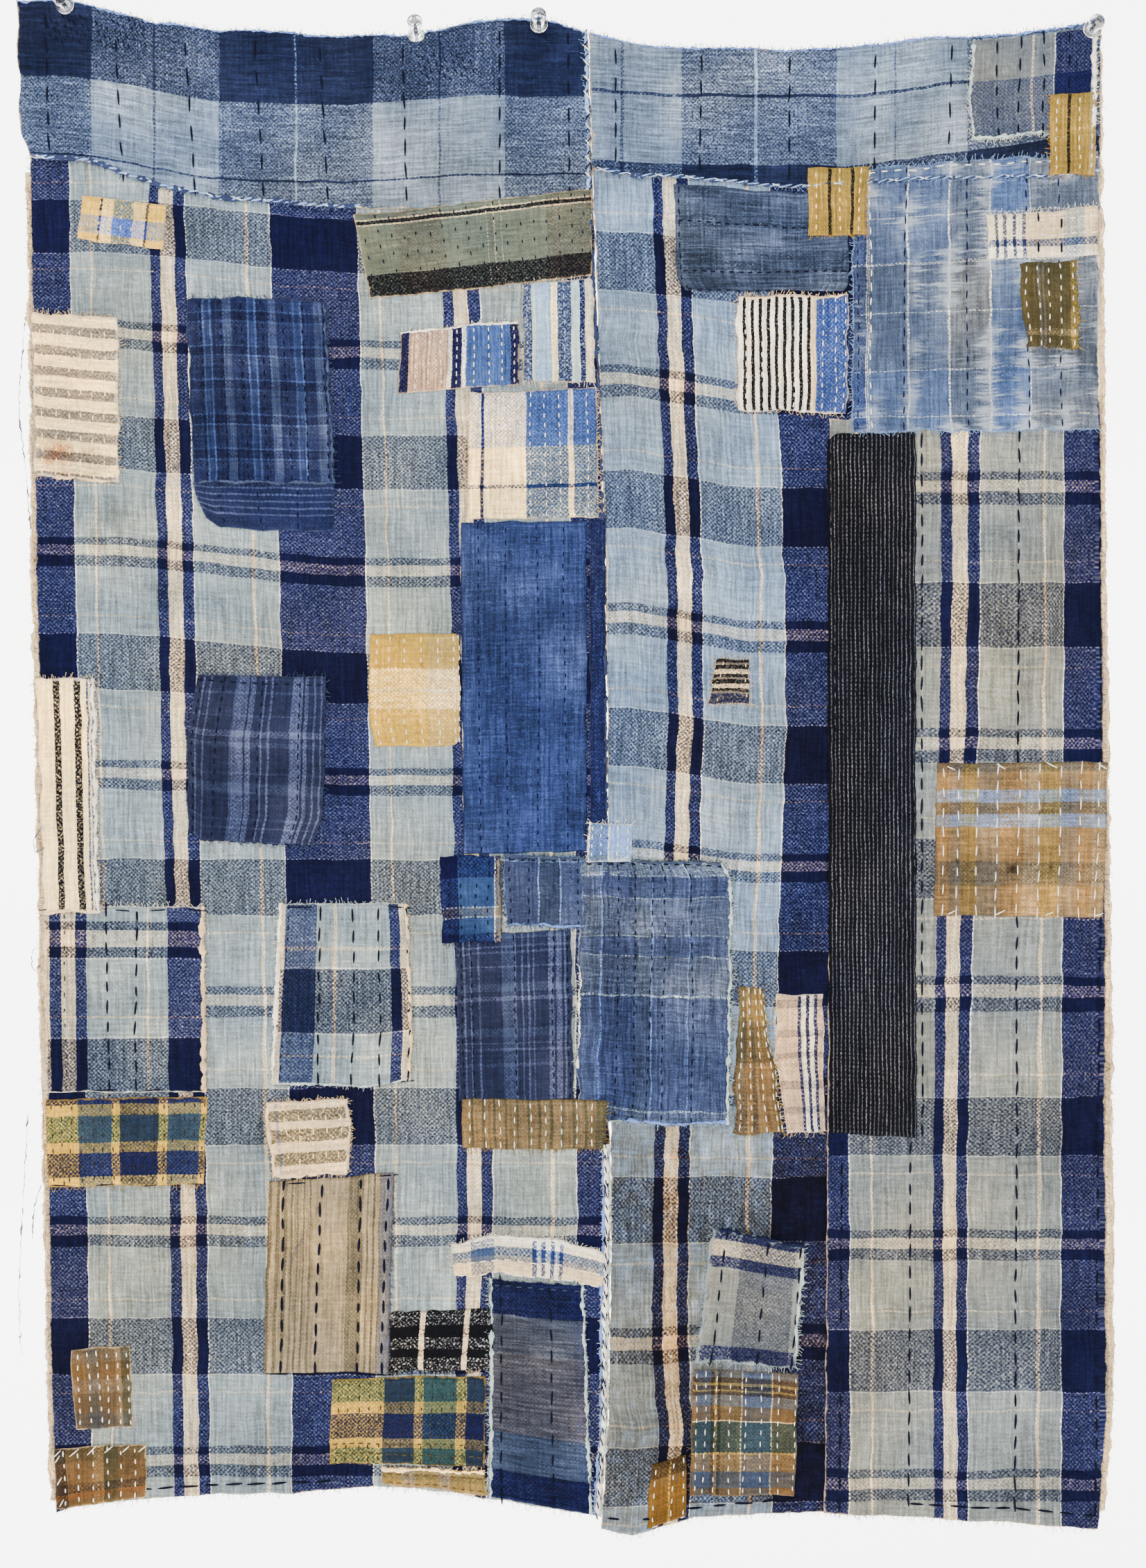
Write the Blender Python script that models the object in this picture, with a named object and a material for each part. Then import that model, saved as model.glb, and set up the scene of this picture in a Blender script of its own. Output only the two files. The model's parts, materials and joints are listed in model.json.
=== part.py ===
"""Boro patched cloth, hung from four clear push pins.

Two narrow loom widths and their top bands are sewn edge to edge, a third panel laps over them at
the right, and patches are sewn on in up to three layers. The cloth hangs against the plane Y = 0,
with +X to the right, +Z up and its face towards -Y. The origin is in the middle of the top edge.
Tables and named sizes are in millimetres and are turned to metres where a mesh is made.
"""

import math
from collections import namedtuple

import bmesh
import bpy
from mathutils import Matrix, Vector

MM = 0.001

# Layers of cloth, counted forwards from the panels at layer 0; the left backing is layer -1
PANEL_THICKNESS = 1.4
PATCH_THICKNESS = 1.1
LAYER_GAP = 0.3
BACKING_CLEARANCE = 2.0

# The hanging surface: how far the panels stand in front of the plane that they hang against
HANG_DROP = 870.0
MOST_FALL = 1.05
FOLD_GROWTH = 1.6
SWAG_FADE = 130.0
SWAG_PEAK = 16.0   # makes the bulge 1 deep half-way between two pins
CELL_WIDTH = 22.0
CELL_HEIGHT = 44.0
CUTTER_BACK = 40.0
CUTTER_FRONT = -110.0

Fold = namedtuple("Fold", "top_x hem_x left_width right_width top_depth hem_depth")
FOLDS = (
    Fold(top_x=-330, hem_x=-306, left_width=55, right_width=75, top_depth=2, hem_depth=18),
    Fold(top_x=-205, hem_x=-195, left_width=70, right_width=60, top_depth=4, hem_depth=7),
    Fold(top_x=12, hem_x=22, left_width=105, right_width=75, top_depth=3, hem_depth=38),
    Fold(top_x=150, hem_x=150, left_width=60, right_width=75, top_depth=3, hem_depth=12),
    Fold(top_x=312, hem_x=306, left_width=70, right_width=60, top_depth=1, hem_depth=14),
)

# Where each pin goes through the cloth, the layers that it goes through, and its lean upwards
Pin = namedtuple("Pin", "x z layers lean")
PINS = {
    "pin_left": Pin(x=-298, z=10, layers=2, lean=0),
    "pin_middle_left": Pin(x=-92, z=-9, layers=2, lean=18),
    "pin_middle": Pin(x=-20, z=-2, layers=2, lean=6),
    "pin_right": Pin(x=304.5, z=-4, layers=3, lean=0),
}
SWAG_DEPTHS = (10.0, 3.0, 14.0)
PIN_SIDES = 12
NEEDLE_RADIUS = 0.6
NEEDLE_HOLE_RADIUS = 0.9
NEEDLE_REACH = 9.0
NEEDLE_POINT = 2.0
FLANGE_RADIUS = 5.2
PIN_PROFILE = ((0.0, 5.2), (1.2, 5.2), (2.0, 3.3), (7.0, 2.8), (9.0, 4.2), (12.4, 4.5), (13.0, 3.9))

# Side edges of the panels and of the backing strips, a row for each height
Course = namedtuple("Course", "z backing_left left seam lap right backing_right")
COURSES = (
    Course(z=0, backing_left=-323.0, left=-321.0, seam=9, lap=150, right=311.0, backing_right=311.6),
    Course(z=-87, backing_left=-322.0, left=-319.0, seam=11, lap=150, right=309.5, backing_right=312.0),
    Course(z=-213, backing_left=-320.0, left=-317.0, seam=15, lap=150, right=310.0, backing_right=312.4),
    Course(z=-333, backing_left=-318.0, left=-314.5, seam=19, lap=151, right=310.5, backing_right=313.5),
    Course(z=-455, backing_left=-314.5, left=-311.0, seam=20, lap=151, right=311.5, backing_right=314.8),
    Course(z=-575, backing_left=-310.5, left=-307.5, seam=21, lap=150, right=312.0, backing_right=315.5),
    Course(z=-695, backing_left=-309.0, left=-305.5, seam=22, lap=148, right=312.0, backing_right=316.0),
    Course(z=-812, backing_left=-305.5, left=-302.5, seam=20, lap=147, right=310.5, backing_right=315.0),
    Course(z=-870, backing_left=-303.0, left=-300.0, seam=16, lap=146, right=305.5, backing_right=309.5),
)

# Top edge, lower edge of the top bands, and hem, a row for each place along the width
Station = namedtuple("Station", "x top band hem")
LEFT_STATIONS = (
    Station(x=-298, top=14, band=-80, hem=-869),
    Station(x=-284, top=11, band=-81, hem=-866),
    Station(x=-245, top=-2, band=-96, hem=-863),
    Station(x=-206, top=-8, band=-105, hem=-863),
    Station(x=-153, top=-9, band=-108, hem=-862),
    Station(x=-100, top=-6, band=-109, hem=-858),
    Station(x=-65, top=-1, band=-110, hem=-859),
    Station(x=-35, top=3, band=-110, hem=-860),
    Station(x=-11, top=2, band=-110, hem=-862),
)
RIGHT_STATIONS = (
    Station(x=34, top=-13, band=-90, hem=-876),
    Station(x=70, top=-17, band=-93, hem=-870),
    Station(x=127, top=-20, band=-99, hem=-871),
    Station(x=165, top=-18, band=-96, hem=-873),
    Station(x=204, top=-12, band=-93, hem=-876),
    Station(x=232, top=-10, band=-92, hem=-878),
    Station(x=281, top=-3, band=-90, hem=-880),
)
SEAM_TOP = -6.0
SEAM_HEM_LEFT = -865.0
SEAM_HEM_RIGHT = -872.0
BAND_LEFT_CORNERS = ((-319, -78), (-325, -66), (-327, 14))
BAND_RIGHT_CORNERS = ((305, 1), (311, -1), (310, -87))
BAND_SEAM_LEFT = -110.0
BAND_SEAM_RIGHT = -87.0
LAP_UNDER = 22.0
LAP_STATION = 3    # the first station and the first course of the right panel
LAP_COURSE = 3
LAP_TOP = ((150, -233), (163, -233), (166, -222), (310, -222))
SEAM_HALF_GAP = 0.25
BACKING_TUCK = 16.0
BACKING_TOP = -6.0
BACKING_HEM = -864.0

Patch = namedtuple("Patch", "layer colour corners")
PATCHES = {
    "cream_check": Patch(1, "BDB8A4", ((-288, -101), (-238, -108), (-240, -134), (-291, -127))),
    "olive_wide": Patch(2, "6E7468", ((-129, -112), (-51, -103), (11, -98), (11, -149), (-119, -162))),
    "cream_bands_high": Patch(1, "C2B9A5", ((-318, -169), (-267, -174), (-266, -271), (-316, -266))),
    "indigo_under": Patch(1, "4B5468", ((-222, -266), (-140, -266), (-140, -299), (-207, -297),
                                        (-215, -291), (-221, -278))),
    "indigo_check": Patch(2, "2C3550", ((-227, -163), (-206, -162), (-145, -164), (-140, -271),
                                        (-222, -271))),
    "taupe_blue_strip": Patch(1, "6F7693", ((-101, -181), (-32, -175), (-31, -213), (-103, -217))),
    "stripe_seam": Patch(1, "8D97A0", ((-30, -153), (12, -151), (13, -212), (-29, -211))),
    "cream_blue_block": Patch(1, "8C95A8", ((-61, -218), (14, -215), (15, -291), (-62, -292))),
    "blue_solid": Patch(1, "46597C", ((-66, -294), (8, -293), (8, -486), (-64, -488))),
    "navy_edge": Patch(1, "232B49", ((10, -293), (19, -292), (19, -470), (10, -470))),
    "gold_block": Patch(1, "A98E52", ((-119, -359), (-68, -359), (-67, -362), (-66, -422), (-69, -425),
                                      (-116, -425), (-120, -410))),
    "cream_stripes": Patch(2, "A7A699", ((-315, -385), (-280, -385), (-277, -522), (-309, -523))),
    "indigo_plaid": Patch(1, "2D3757", ((-220, -383), (-145, -384), (-147, -467), (-153, -483),
                                        (-217, -480), (-225, -474), (-226, -418))),
    "plaid_left": Patch(1, "5F7596", ((-309, -518), (-216, -519), (-215, -627), (-307, -627))),
    "plaid_centre": Patch(1, "5F7596", ((-172, -517), (-97, -517), (-94, -589), (-95, -621),
                                        (-121, -625), (-177, -623))),
    "gold_check_left": Patch(1, "7C7A52", ((-308, -631), (-214, -630), (-216, -681), (-306, -682))),
    "cream_bands_low": Patch(1, "BDB49F", ((-180, -634), (-133, -632), (-130, -647), (-132, -675),
                                           (-176, -678))),
    "khaki_tall": Patch(1, "8F8B75", ((-178, -680), (-131, -677), (-105, -674), (-108, -792),
                                      (-181, -792))),
    "brown_small": Patch(1, "6D6455", ((-292, -776), (-258, -774), (-256, -822), (-289, -822))),
    "brown_corner": Patch(1, "665D4C", ((-302, -833), (-248, -831), (-248, -862), (-299, -868))),
    "black_fleck": Patch(2, "2E2E33", ((-106, -756), (-46, -750), (-48, -787), (-108, -790))),
    "gold_check_low": Patch(1, "6F6B3F", ((-141, -796), (-50, -790), (-51, -842), (-143, -846))),
    "gold_strip": Patch(1, "80713C", ((-113, -847), (-50, -844), (-50, -858), (-111, -857))),
    "dusk_bands": Patch(1, "56617F", ((-48, -733), (6, -734), (11, -864), (-48, -858))),
    "white_strip": Patch(2, "A9AFB2", ((-71, -715), (-43, -708), (-10, -709), (19, -716), (17, -736),
                                       (-10, -731), (-43, -730), (-70, -734))),
    "khaki_strip": Patch(2, "66604B", ((-65, -630), (19, -629), (19, -657), (-64, -659))),
    "indigo_lines": Patch(1, "2F3B62", ((-69, -536), (-1, -531), (0, -629), (-66, -632))),
    "blue_brown_line": Patch(2, "55627F", ((-78, -490), (-42, -489), (-42, -538), (-76, -540))),
    "denim_square": Patch(2, "4C5A77", ((-40, -488), (6, -489), (6, -530), (-39, -529))),
    "pale_tag": Patch(2, "8494AB", ((9, -469), (34, -471), (34, -492), (8, -492))),
    "blue_plaid_large": Patch(1, "5F7FA3", ((4, -490), (87, -493), (93, -501), (91, -646), (2, -640))),
    "khaki_wedge": Patch(1, "645E47", ((97, -565), (110, -566), (122, -651), (93, -651))),
    "cream_navy_lines": Patch(1, "AAA89B", ((119, -570), (146, -570), (147, -650), (125, -651),
                                            (118, -605))),
    "pinstripe": Patch(2, "3A3F4A", ((149, -246), (154, -242), (201, -241), (201, -654), (150, -651))),
    "slate": Patch(1, "3F4A5A", ((59, -95), (132, -102), (162, -99), (161, -155), (158, -159), (66, -158),
                                 (61, -150))),
    "ochre_left": Patch(3, "A8842F", ((137, -88), (172, -87), (171, -126), (138, -127))),
    "ochre_right": Patch(3, "A8852F", ((280, -43), (308, -40), (307, -89), (280, -89))),
    "plaid_corner": Patch(2, "74808E", ((233, -12), (308, -1), (306, -63), (234, -69), (232, -49))),
    "ikat_blue": Patch(2, "4F79A5", ((163, -89), (234, -81), (309, -76), (309, -238), (164, -241))),
    "white_blue_bars": Patch(3, "9CAEC0", ((243, -113), (309, -107), (309, -136), (244, -138))),
    "olive_small": Patch(3, "6F6A49", ((263, -140), (297, -139), (297, -191), (266, -190))),
    "taupe_lines": Patch(1, "9C9A98", ((96, -161), (161, -161), (161, -230), (97, -228))),
    "fleck_tag": Patch(1, "6A675F", ((83, -373), (104, -374), (102, -400), (80, -399))),
    "brown_bands": Patch(2, "5E554C", ((213, -435), (314, -434), (310, -525), (212, -524))),
    "grey_frayed": Patch(1, "7D8088", ((81, -705), (135, -716), (130, -788), (71, -781))),
    "brown_blue_check": Patch(1, "57564F", ((69, -785), (131, -791), (129, -861), (67, -857))),
    "yellow_low": Patch(1, "9A8038", ((45, -836), (65, -833), (65, -868), (42, -872))),
}
BAND_COLOUR = "4A658D"
LEFT_PANEL_COLOUR = "5C7392"
MIDDLE_PANEL_COLOUR = "587198"
RIGHT_PANEL_COLOUR = "5B6F8C"
BACKING_COLOUR = "B9B09C"
PIN_COLOUR = "D8DCDC"
CLOTH_ROUGHNESS = 0.95
PIN_ROUGHNESS = 0.15
PIN_SHARP_ANGLE = math.radians(40)


def linear_colour(hex_text):
    """Turns an sRGB hex colour to linear RGBA."""
    channels = [int(hex_text[i:i + 2], 16) / 255 for i in (0, 2, 4)]
    linear = [c / 12.92 if c <= 0.04045 else ((c + 0.055) / 1.055) ** 2.4 for c in channels]
    return (*linear, 1.0)


def fold_depth(fold, x, z):
    """Depth of one hanging fold, which grows from the pins to the hem."""
    fall = min(max(-z / HANG_DROP, 0.0), MOST_FALL)
    ridge_x = fold.top_x + (fold.hem_x - fold.top_x) * fall
    width = fold.left_width if x < ridge_x else fold.right_width
    depth = fold.top_depth + (fold.hem_depth - fold.top_depth) * fall ** FOLD_GROWTH
    return depth * math.exp(-((x - ridge_x) / width) ** 2)


def swag_depth(x, z):
    """Bulge of the cloth between two neighbouring pins, which fades downwards."""
    pins = sorted(PINS.values())
    for left, right, depth in zip(pins, pins[1:], SWAG_DEPTHS):
        if left.x < x < right.x:
            across = (x - left.x) / (right.x - left.x)
            bulge = SWAG_PEAK * (across * (1 - across)) ** 2
            return depth * bulge * math.exp(-max(-z, 0.0) / SWAG_FADE)
    return 0.0


def hang_depth(x, z):
    """Distance of the back of the panels from the plane that the cloth hangs against."""
    return BACKING_CLEARANCE + sum(fold_depth(fold, x, z) for fold in FOLDS) + swag_depth(x, z)


def facet_depth(x, z):
    """The same distance on the facets of the grid that every layer shares."""
    column = math.floor(x / CELL_WIDTH)
    row = math.floor(z / CELL_HEIGHT)
    across = x / CELL_WIDTH - column
    up = z / CELL_HEIGHT - row
    corner = [[hang_depth((column + i) * CELL_WIDTH, (row + j) * CELL_HEIGHT) for j in (0, 1)]
              for i in (0, 1)]
    if across > up:
        return corner[0][0] + across * (corner[1][0] - corner[0][0]) + up * (corner[1][1] - corner[1][0])
    return corner[0][0] + up * (corner[0][1] - corner[0][0]) + across * (corner[1][1] - corner[0][1])


def layer_back(layer):
    """How far the back of a layer stands in front of the back of the panels."""
    if layer <= 0:
        return layer * (PATCH_THICKNESS + LAYER_GAP)
    return PANEL_THICKNESS + LAYER_GAP + (layer - 1) * (PATCH_THICKNESS + LAYER_GAP)


def layer_thickness(layer):
    """Thickness of the cloth in a layer."""
    return PANEL_THICKNESS if layer == 0 else PATCH_THICKNESS


def cloth_material(name, colour, roughness):
    """A plain material in the colour of one piece."""
    material = bpy.data.materials.new(name)
    material.use_nodes = True
    shader = material.node_tree.nodes["Principled BSDF"]
    shader.inputs["Base Color"].default_value = linear_colour(colour)
    shader.inputs["Roughness"].default_value = roughness
    shader.inputs["Metallic"].default_value = 0.0
    return material


def add_object(name, bm, material=None):
    """Puts a bmesh in the scene as an object, with its sizes turned from millimetres to metres."""
    bmesh.ops.recalc_face_normals(bm, faces=bm.faces)
    bmesh.ops.scale(bm, vec=(MM, MM, MM), verts=bm.verts)
    mesh = bpy.data.meshes.new(name)
    bm.to_mesh(mesh)
    bm.free()
    piece = bpy.data.objects.new(name, mesh)
    bpy.context.scene.collection.objects.link(piece)
    if material:
        mesh.materials.append(material)
    return piece


def hide_cutter(cutter):
    """Marks an object as a cutter, which is no part of the cloth."""
    cutter.hide_render = True
    cutter.display_type = "WIRE"


def add_slab(name, outline, layer, material):
    """A sheet of faceted cloth that covers every grid cell which an outline touches."""
    columns = [math.floor(min(x for x, z in outline) / CELL_WIDTH) - 1,
               math.ceil(max(x for x, z in outline) / CELL_WIDTH) + 1]
    rows = [math.floor(min(z for x, z in outline) / CELL_HEIGHT) - 1,
            math.ceil(max(z for x, z in outline) / CELL_HEIGHT) + 1]
    bm = bmesh.new()
    grids = []
    for offset in (layer_back(layer), layer_back(layer) + layer_thickness(layer)):
        grid = {}
        for i in range(columns[0], columns[1] + 1):
            for j in range(rows[0], rows[1] + 1):
                x, z = i * CELL_WIDTH, j * CELL_HEIGHT
                grid[i, j] = bm.verts.new((x, -hang_depth(x, z) - offset, z))
        for i in range(columns[0], columns[1]):
            for j in range(rows[0], rows[1]):
                bm.faces.new((grid[i, j], grid[i + 1, j], grid[i + 1, j + 1]))
                bm.faces.new((grid[i, j], grid[i + 1, j + 1], grid[i, j + 1]))
        grids.append(grid)
    rim = [(i, rows[0]) for i in range(columns[0], columns[1])]
    rim += [(columns[1], j) for j in range(rows[0], rows[1])]
    rim += [(i, rows[1]) for i in range(columns[1], columns[0], -1)]
    rim += [(columns[0], j) for j in range(rows[1], rows[0], -1)]
    for start, end in zip(rim, rim[1:] + rim[:1]):
        bm.faces.new((grids[0][start], grids[0][end], grids[1][end], grids[1][start]))
    return add_object(name, bm, material)


def add_outline_cutter(name, outline):
    """A prism along Y with the outline of one piece of cloth."""
    bm = bmesh.new()
    corners = [bm.verts.new((x, CUTTER_BACK, z)) for x, z in outline]
    face = bm.faces.new(corners)
    swept = bmesh.ops.extrude_face_region(bm, geom=[face])
    moved = [item for item in swept["geom"] if isinstance(item, bmesh.types.BMVert)]
    bmesh.ops.translate(bm, vec=(0, CUTTER_FRONT - CUTTER_BACK, 0), verts=moved)
    cutter = add_object(name + "_outline", bm)
    hide_cutter(cutter)
    return cutter


def add_boolean(piece, cutter, operation):
    """Cuts a piece with another object, with the exact solver."""
    modifier = piece.modifiers.new(operation.lower(), "BOOLEAN")
    modifier.operation = operation
    modifier.solver = "EXACT"
    modifier.object = cutter


def inside(outline, x, z):
    """Whether a point lies inside an outline."""
    crossings = 0
    for (ax, az), (bx, bz) in zip(outline, outline[1:] + outline[:1]):
        if (az > z) != (bz > z) and x < ax + (bx - ax) * (z - az) / (bz - az):
            crossings += 1
    return crossings % 2 == 1


def add_cloth(name, outline, layer, colour, hole_cutters):
    """One piece of cloth with its outline, its layer and the holes of the pins that pierce it."""
    outline = list(outline)
    slab = add_slab(name, outline, layer, cloth_material(name, colour, CLOTH_ROUGHNESS))
    add_boolean(slab, add_outline_cutter(name, outline), "INTERSECT")
    for pin_name, cutter in hole_cutters.items():
        if inside(outline, PINS[pin_name].x, PINS[pin_name].z):
            add_boolean(slab, cutter, "DIFFERENCE")


def course_edge(column, shift, first=0, last=len(COURSES)):
    """Points down one side edge, from the table of courses."""
    return [(getattr(course, column) + shift, course.z) for course in COURSES[first:last]]


def left_panel_outline():
    """The left loom width: its top edge, the seam, its hem and its left edge."""
    top = [(station.x, station.top) for station in LEFT_STATIONS]
    seam = course_edge("seam", -SEAM_HALF_GAP, first=1, last=-1)
    hem = [(station.x, station.hem) for station in reversed(LEFT_STATIONS[1:])]
    left = list(reversed(course_edge("left", 0)))
    seam_top = (COURSES[0].seam - SEAM_HALF_GAP, SEAM_TOP)
    seam_hem = (COURSES[-1].seam - SEAM_HALF_GAP, SEAM_HEM_LEFT)
    return top + [seam_top] + seam + [seam_hem] + hem + left + [(COURSES[0].left, LEFT_STATIONS[0].top)]


def middle_panel_outline():
    """The middle loom width, which reaches behind the lap of the right panel."""
    stations = RIGHT_STATIONS[:LAP_STATION]
    under = COURSES[0].lap + LAP_UNDER
    top = [(station.x, station.top) for station in stations] + [(under, RIGHT_STATIONS[LAP_STATION].top)]
    hem = [(under, RIGHT_STATIONS[LAP_STATION].hem)]
    hem += [(station.x, station.hem) for station in reversed(stations)]
    seam = list(reversed(course_edge("seam", SEAM_HALF_GAP, first=1, last=-1)))
    seam_hem = (COURSES[-1].seam + SEAM_HALF_GAP, SEAM_HEM_RIGHT)
    return top + hem + [seam_hem] + seam + [(COURSES[0].seam + SEAM_HALF_GAP, SEAM_TOP)]


def right_panel_outline():
    """The right panel, lapped over the middle one and tucked under the blue ikat patch."""
    right = course_edge("right", 0, first=LAP_COURSE)
    hem = [(station.x, station.hem) for station in reversed(RIGHT_STATIONS[LAP_STATION:])]
    lap_hem = (COURSES[-1].lap, RIGHT_STATIONS[LAP_STATION - 1].hem)
    lap = list(reversed(course_edge("lap", 0, first=LAP_COURSE, last=-1)))
    corner = (COURSES[-1].right, RIGHT_STATIONS[-1].hem)
    return list(LAP_TOP) + right[:-1] + [corner] + hem + [lap_hem] + lap


def band_left_outline():
    """The left top band, from its top edge down to the edge sewn over the left panel."""
    top = [(station.x, station.top) for station in LEFT_STATIONS]
    low = [(station.x, station.band) for station in reversed(LEFT_STATIONS)]
    seam_top = (COURSES[0].seam - SEAM_HALF_GAP, SEAM_TOP)
    seam_low = (COURSES[1].seam - SEAM_HALF_GAP, BAND_SEAM_LEFT)
    return top + [seam_top, seam_low] + low + list(BAND_LEFT_CORNERS)


def band_right_outline():
    """The right top band, from its top edge down to the edge sewn over the middle panel."""
    top = [(station.x, station.top) for station in RIGHT_STATIONS]
    low = [(station.x, station.band) for station in reversed(RIGHT_STATIONS)]
    seam_low = (COURSES[1].seam + SEAM_HALF_GAP, BAND_SEAM_RIGHT)
    seam_top = (COURSES[0].seam + SEAM_HALF_GAP, SEAM_TOP)
    return top + list(BAND_RIGHT_CORNERS) + low + [seam_low, seam_top]


def backing_left_outline():
    """The strip of backing that shows past the left edge."""
    outer = course_edge("backing_left", 0, first=1)
    inner = list(reversed(course_edge("left", BACKING_TUCK, first=1)))
    return outer[:-1] + [(outer[-1][0], BACKING_HEM), (inner[0][0], BACKING_HEM)] + inner[1:]


def backing_right_outline():
    """The strip of backing that shows past the right edge."""
    outer = course_edge("backing_right", 0)
    inner = list(reversed(course_edge("right", -BACKING_TUCK)))
    return [(outer[0][0], BACKING_TOP)] + outer[1:] + inner[:-1] + [(inner[-1][0], BACKING_TOP)]


def turn_profile(bm, profile):
    """Turns a profile of (distance forwards, radius) about the needle's axis, along -Y."""
    rings = []
    for forward, radius in profile:
        if radius == 0:
            rings.append([bm.verts.new((0, -forward, 0))])
            continue
        angles = [2 * math.pi * k / PIN_SIDES for k in range(PIN_SIDES)]
        rings.append([bm.verts.new((radius * math.cos(a), -forward, radius * math.sin(a))) for a in angles])
    for near, far in zip(rings, rings[1:]):
        for k in range(PIN_SIDES):
            corners = [near[k % len(near)], near[(k + 1) % len(near)]]
            corners += [far[(k + 1) % len(far)], far[k % len(far)]]
            bm.faces.new(list(dict.fromkeys(corners)))


def pin_seat(pin):
    """Distance from the hanging plane to the flange, clear of the cloth all round the flange."""
    lean = math.radians(pin.lean)
    front = layer_back(pin.layers - 1) + layer_thickness(pin.layers - 1)
    seat = 0.0
    for k in range(PIN_SIDES):
        angle = 2 * math.pi * k / PIN_SIDES
        x = pin.x + FLANGE_RADIUS * math.cos(angle)
        z = pin.z + FLANGE_RADIUS * math.sin(angle)
        dip = FLANGE_RADIUS * max(math.sin(angle), 0.0) * math.sin(lean)
        seat = max(seat, facet_depth(x, z) + dip)
    return seat + front + LAYER_GAP


def pin_placement(pin):
    """Where a pin stands, with its needle's axis leaning so that its head points up."""
    pierced = facet_depth(pin.x, pin.z)
    turn = Matrix.Rotation(math.radians(-pin.lean), 4, "X")
    return Matrix.Translation(Vector((pin.x, -pierced, pin.z)) * MM) @ turn


def add_pin(name, pin):
    """A clear push pin: its needle, its flange, its waist and its head, as one turned solid."""
    stand_off = (pin_seat(pin) - facet_depth(pin.x, pin.z)) / math.cos(math.radians(pin.lean))
    needle = [(-NEEDLE_REACH, 0), (-NEEDLE_REACH + NEEDLE_POINT, NEEDLE_RADIUS), (stand_off, NEEDLE_RADIUS)]
    head = [(stand_off + forward, radius) for forward, radius in PIN_PROFILE]
    bm = bmesh.new()
    turn_profile(bm, needle + head + [(head[-1][0], 0)])
    pin_object = add_object(name, bm, cloth_material(name, PIN_COLOUR, PIN_ROUGHNESS))
    pin_object.matrix_world = pin_placement(pin)
    for polygon in pin_object.data.polygons:
        polygon.use_smooth = True
    pin_object.data.set_sharp_from_angle(angle=PIN_SHARP_ANGLE)


def add_hole_cutter(name, pin):
    """A cutter along a pin's needle, a little wider than the needle."""
    bm = bmesh.new()
    turn_profile(bm, [(-NEEDLE_REACH, 0), (-NEEDLE_REACH, NEEDLE_HOLE_RADIUS),
                      (2 * NEEDLE_REACH, NEEDLE_HOLE_RADIUS), (2 * NEEDLE_REACH, 0)])
    cutter = add_object(name + "_hole", bm)
    cutter.matrix_world = pin_placement(pin)
    hide_cutter(cutter)
    return cutter


def main():
    """Clears the scene and builds the panels, the bands, the patches, the backing and the pins."""
    for old in list(bpy.data.objects):
        bpy.data.objects.remove(old)
    holes = {name: add_hole_cutter(name, pin) for name, pin in PINS.items()}
    add_cloth("left_panel", left_panel_outline(), 0, LEFT_PANEL_COLOUR, holes)
    add_cloth("middle_panel", middle_panel_outline(), 0, MIDDLE_PANEL_COLOUR, holes)
    add_cloth("right_panel", right_panel_outline(), 1, RIGHT_PANEL_COLOUR, holes)
    add_cloth("band_left", band_left_outline(), 1, BAND_COLOUR, holes)
    add_cloth("band_right", band_right_outline(), 1, BAND_COLOUR, holes)
    add_cloth("backing_left", backing_left_outline(), -1, BACKING_COLOUR, holes)
    add_cloth("backing_right", backing_right_outline(), 0, BACKING_COLOUR, holes)
    for name, patch in PATCHES.items():
        add_cloth(name, patch.corners, patch.layer, patch.colour, holes)
    for name, pin in PINS.items():
        add_pin(name, pin)


main()
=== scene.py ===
"""Boro patched cloth, hung from four clear push pins: how it looks.

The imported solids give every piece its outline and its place. This script dresses each piece as
woven cotton: its threads, dyes, wear and sewn edges, with the darning stitches, frayed edges and
loose threads on it. +X is to the right, +Z up and the cloth faces -Y. Sizes are in millimetres and
are turned to metres where a mesh is made.
"""

import json
import logging
import math
from collections import defaultdict
from dataclasses import dataclass, replace
from enum import Enum

import bmesh
import bpy
import numpy as np
from mathutils import Matrix, Vector


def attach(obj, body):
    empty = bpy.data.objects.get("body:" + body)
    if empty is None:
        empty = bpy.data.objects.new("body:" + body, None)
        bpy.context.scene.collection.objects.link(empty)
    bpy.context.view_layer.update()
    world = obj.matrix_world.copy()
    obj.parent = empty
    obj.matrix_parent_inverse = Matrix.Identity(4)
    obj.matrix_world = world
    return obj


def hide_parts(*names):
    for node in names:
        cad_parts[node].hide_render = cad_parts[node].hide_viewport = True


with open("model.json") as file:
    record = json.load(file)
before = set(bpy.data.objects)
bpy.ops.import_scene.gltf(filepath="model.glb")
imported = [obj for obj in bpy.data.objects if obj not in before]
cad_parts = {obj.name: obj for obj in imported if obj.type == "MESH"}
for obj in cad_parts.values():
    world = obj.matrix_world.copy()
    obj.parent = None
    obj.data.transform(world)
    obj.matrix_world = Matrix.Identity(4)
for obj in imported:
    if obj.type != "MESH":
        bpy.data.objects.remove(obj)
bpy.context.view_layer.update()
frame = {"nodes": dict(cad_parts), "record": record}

MM = 0.001
SEED = 7
LOG = logging.getLogger("boro")

# How much brighter than white paper the light on the cloth is, and the power that yarns mix by
STUDIO_LIGHT = 3.25
YARN_MIX = 6.0

Array = np.ndarray


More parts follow.
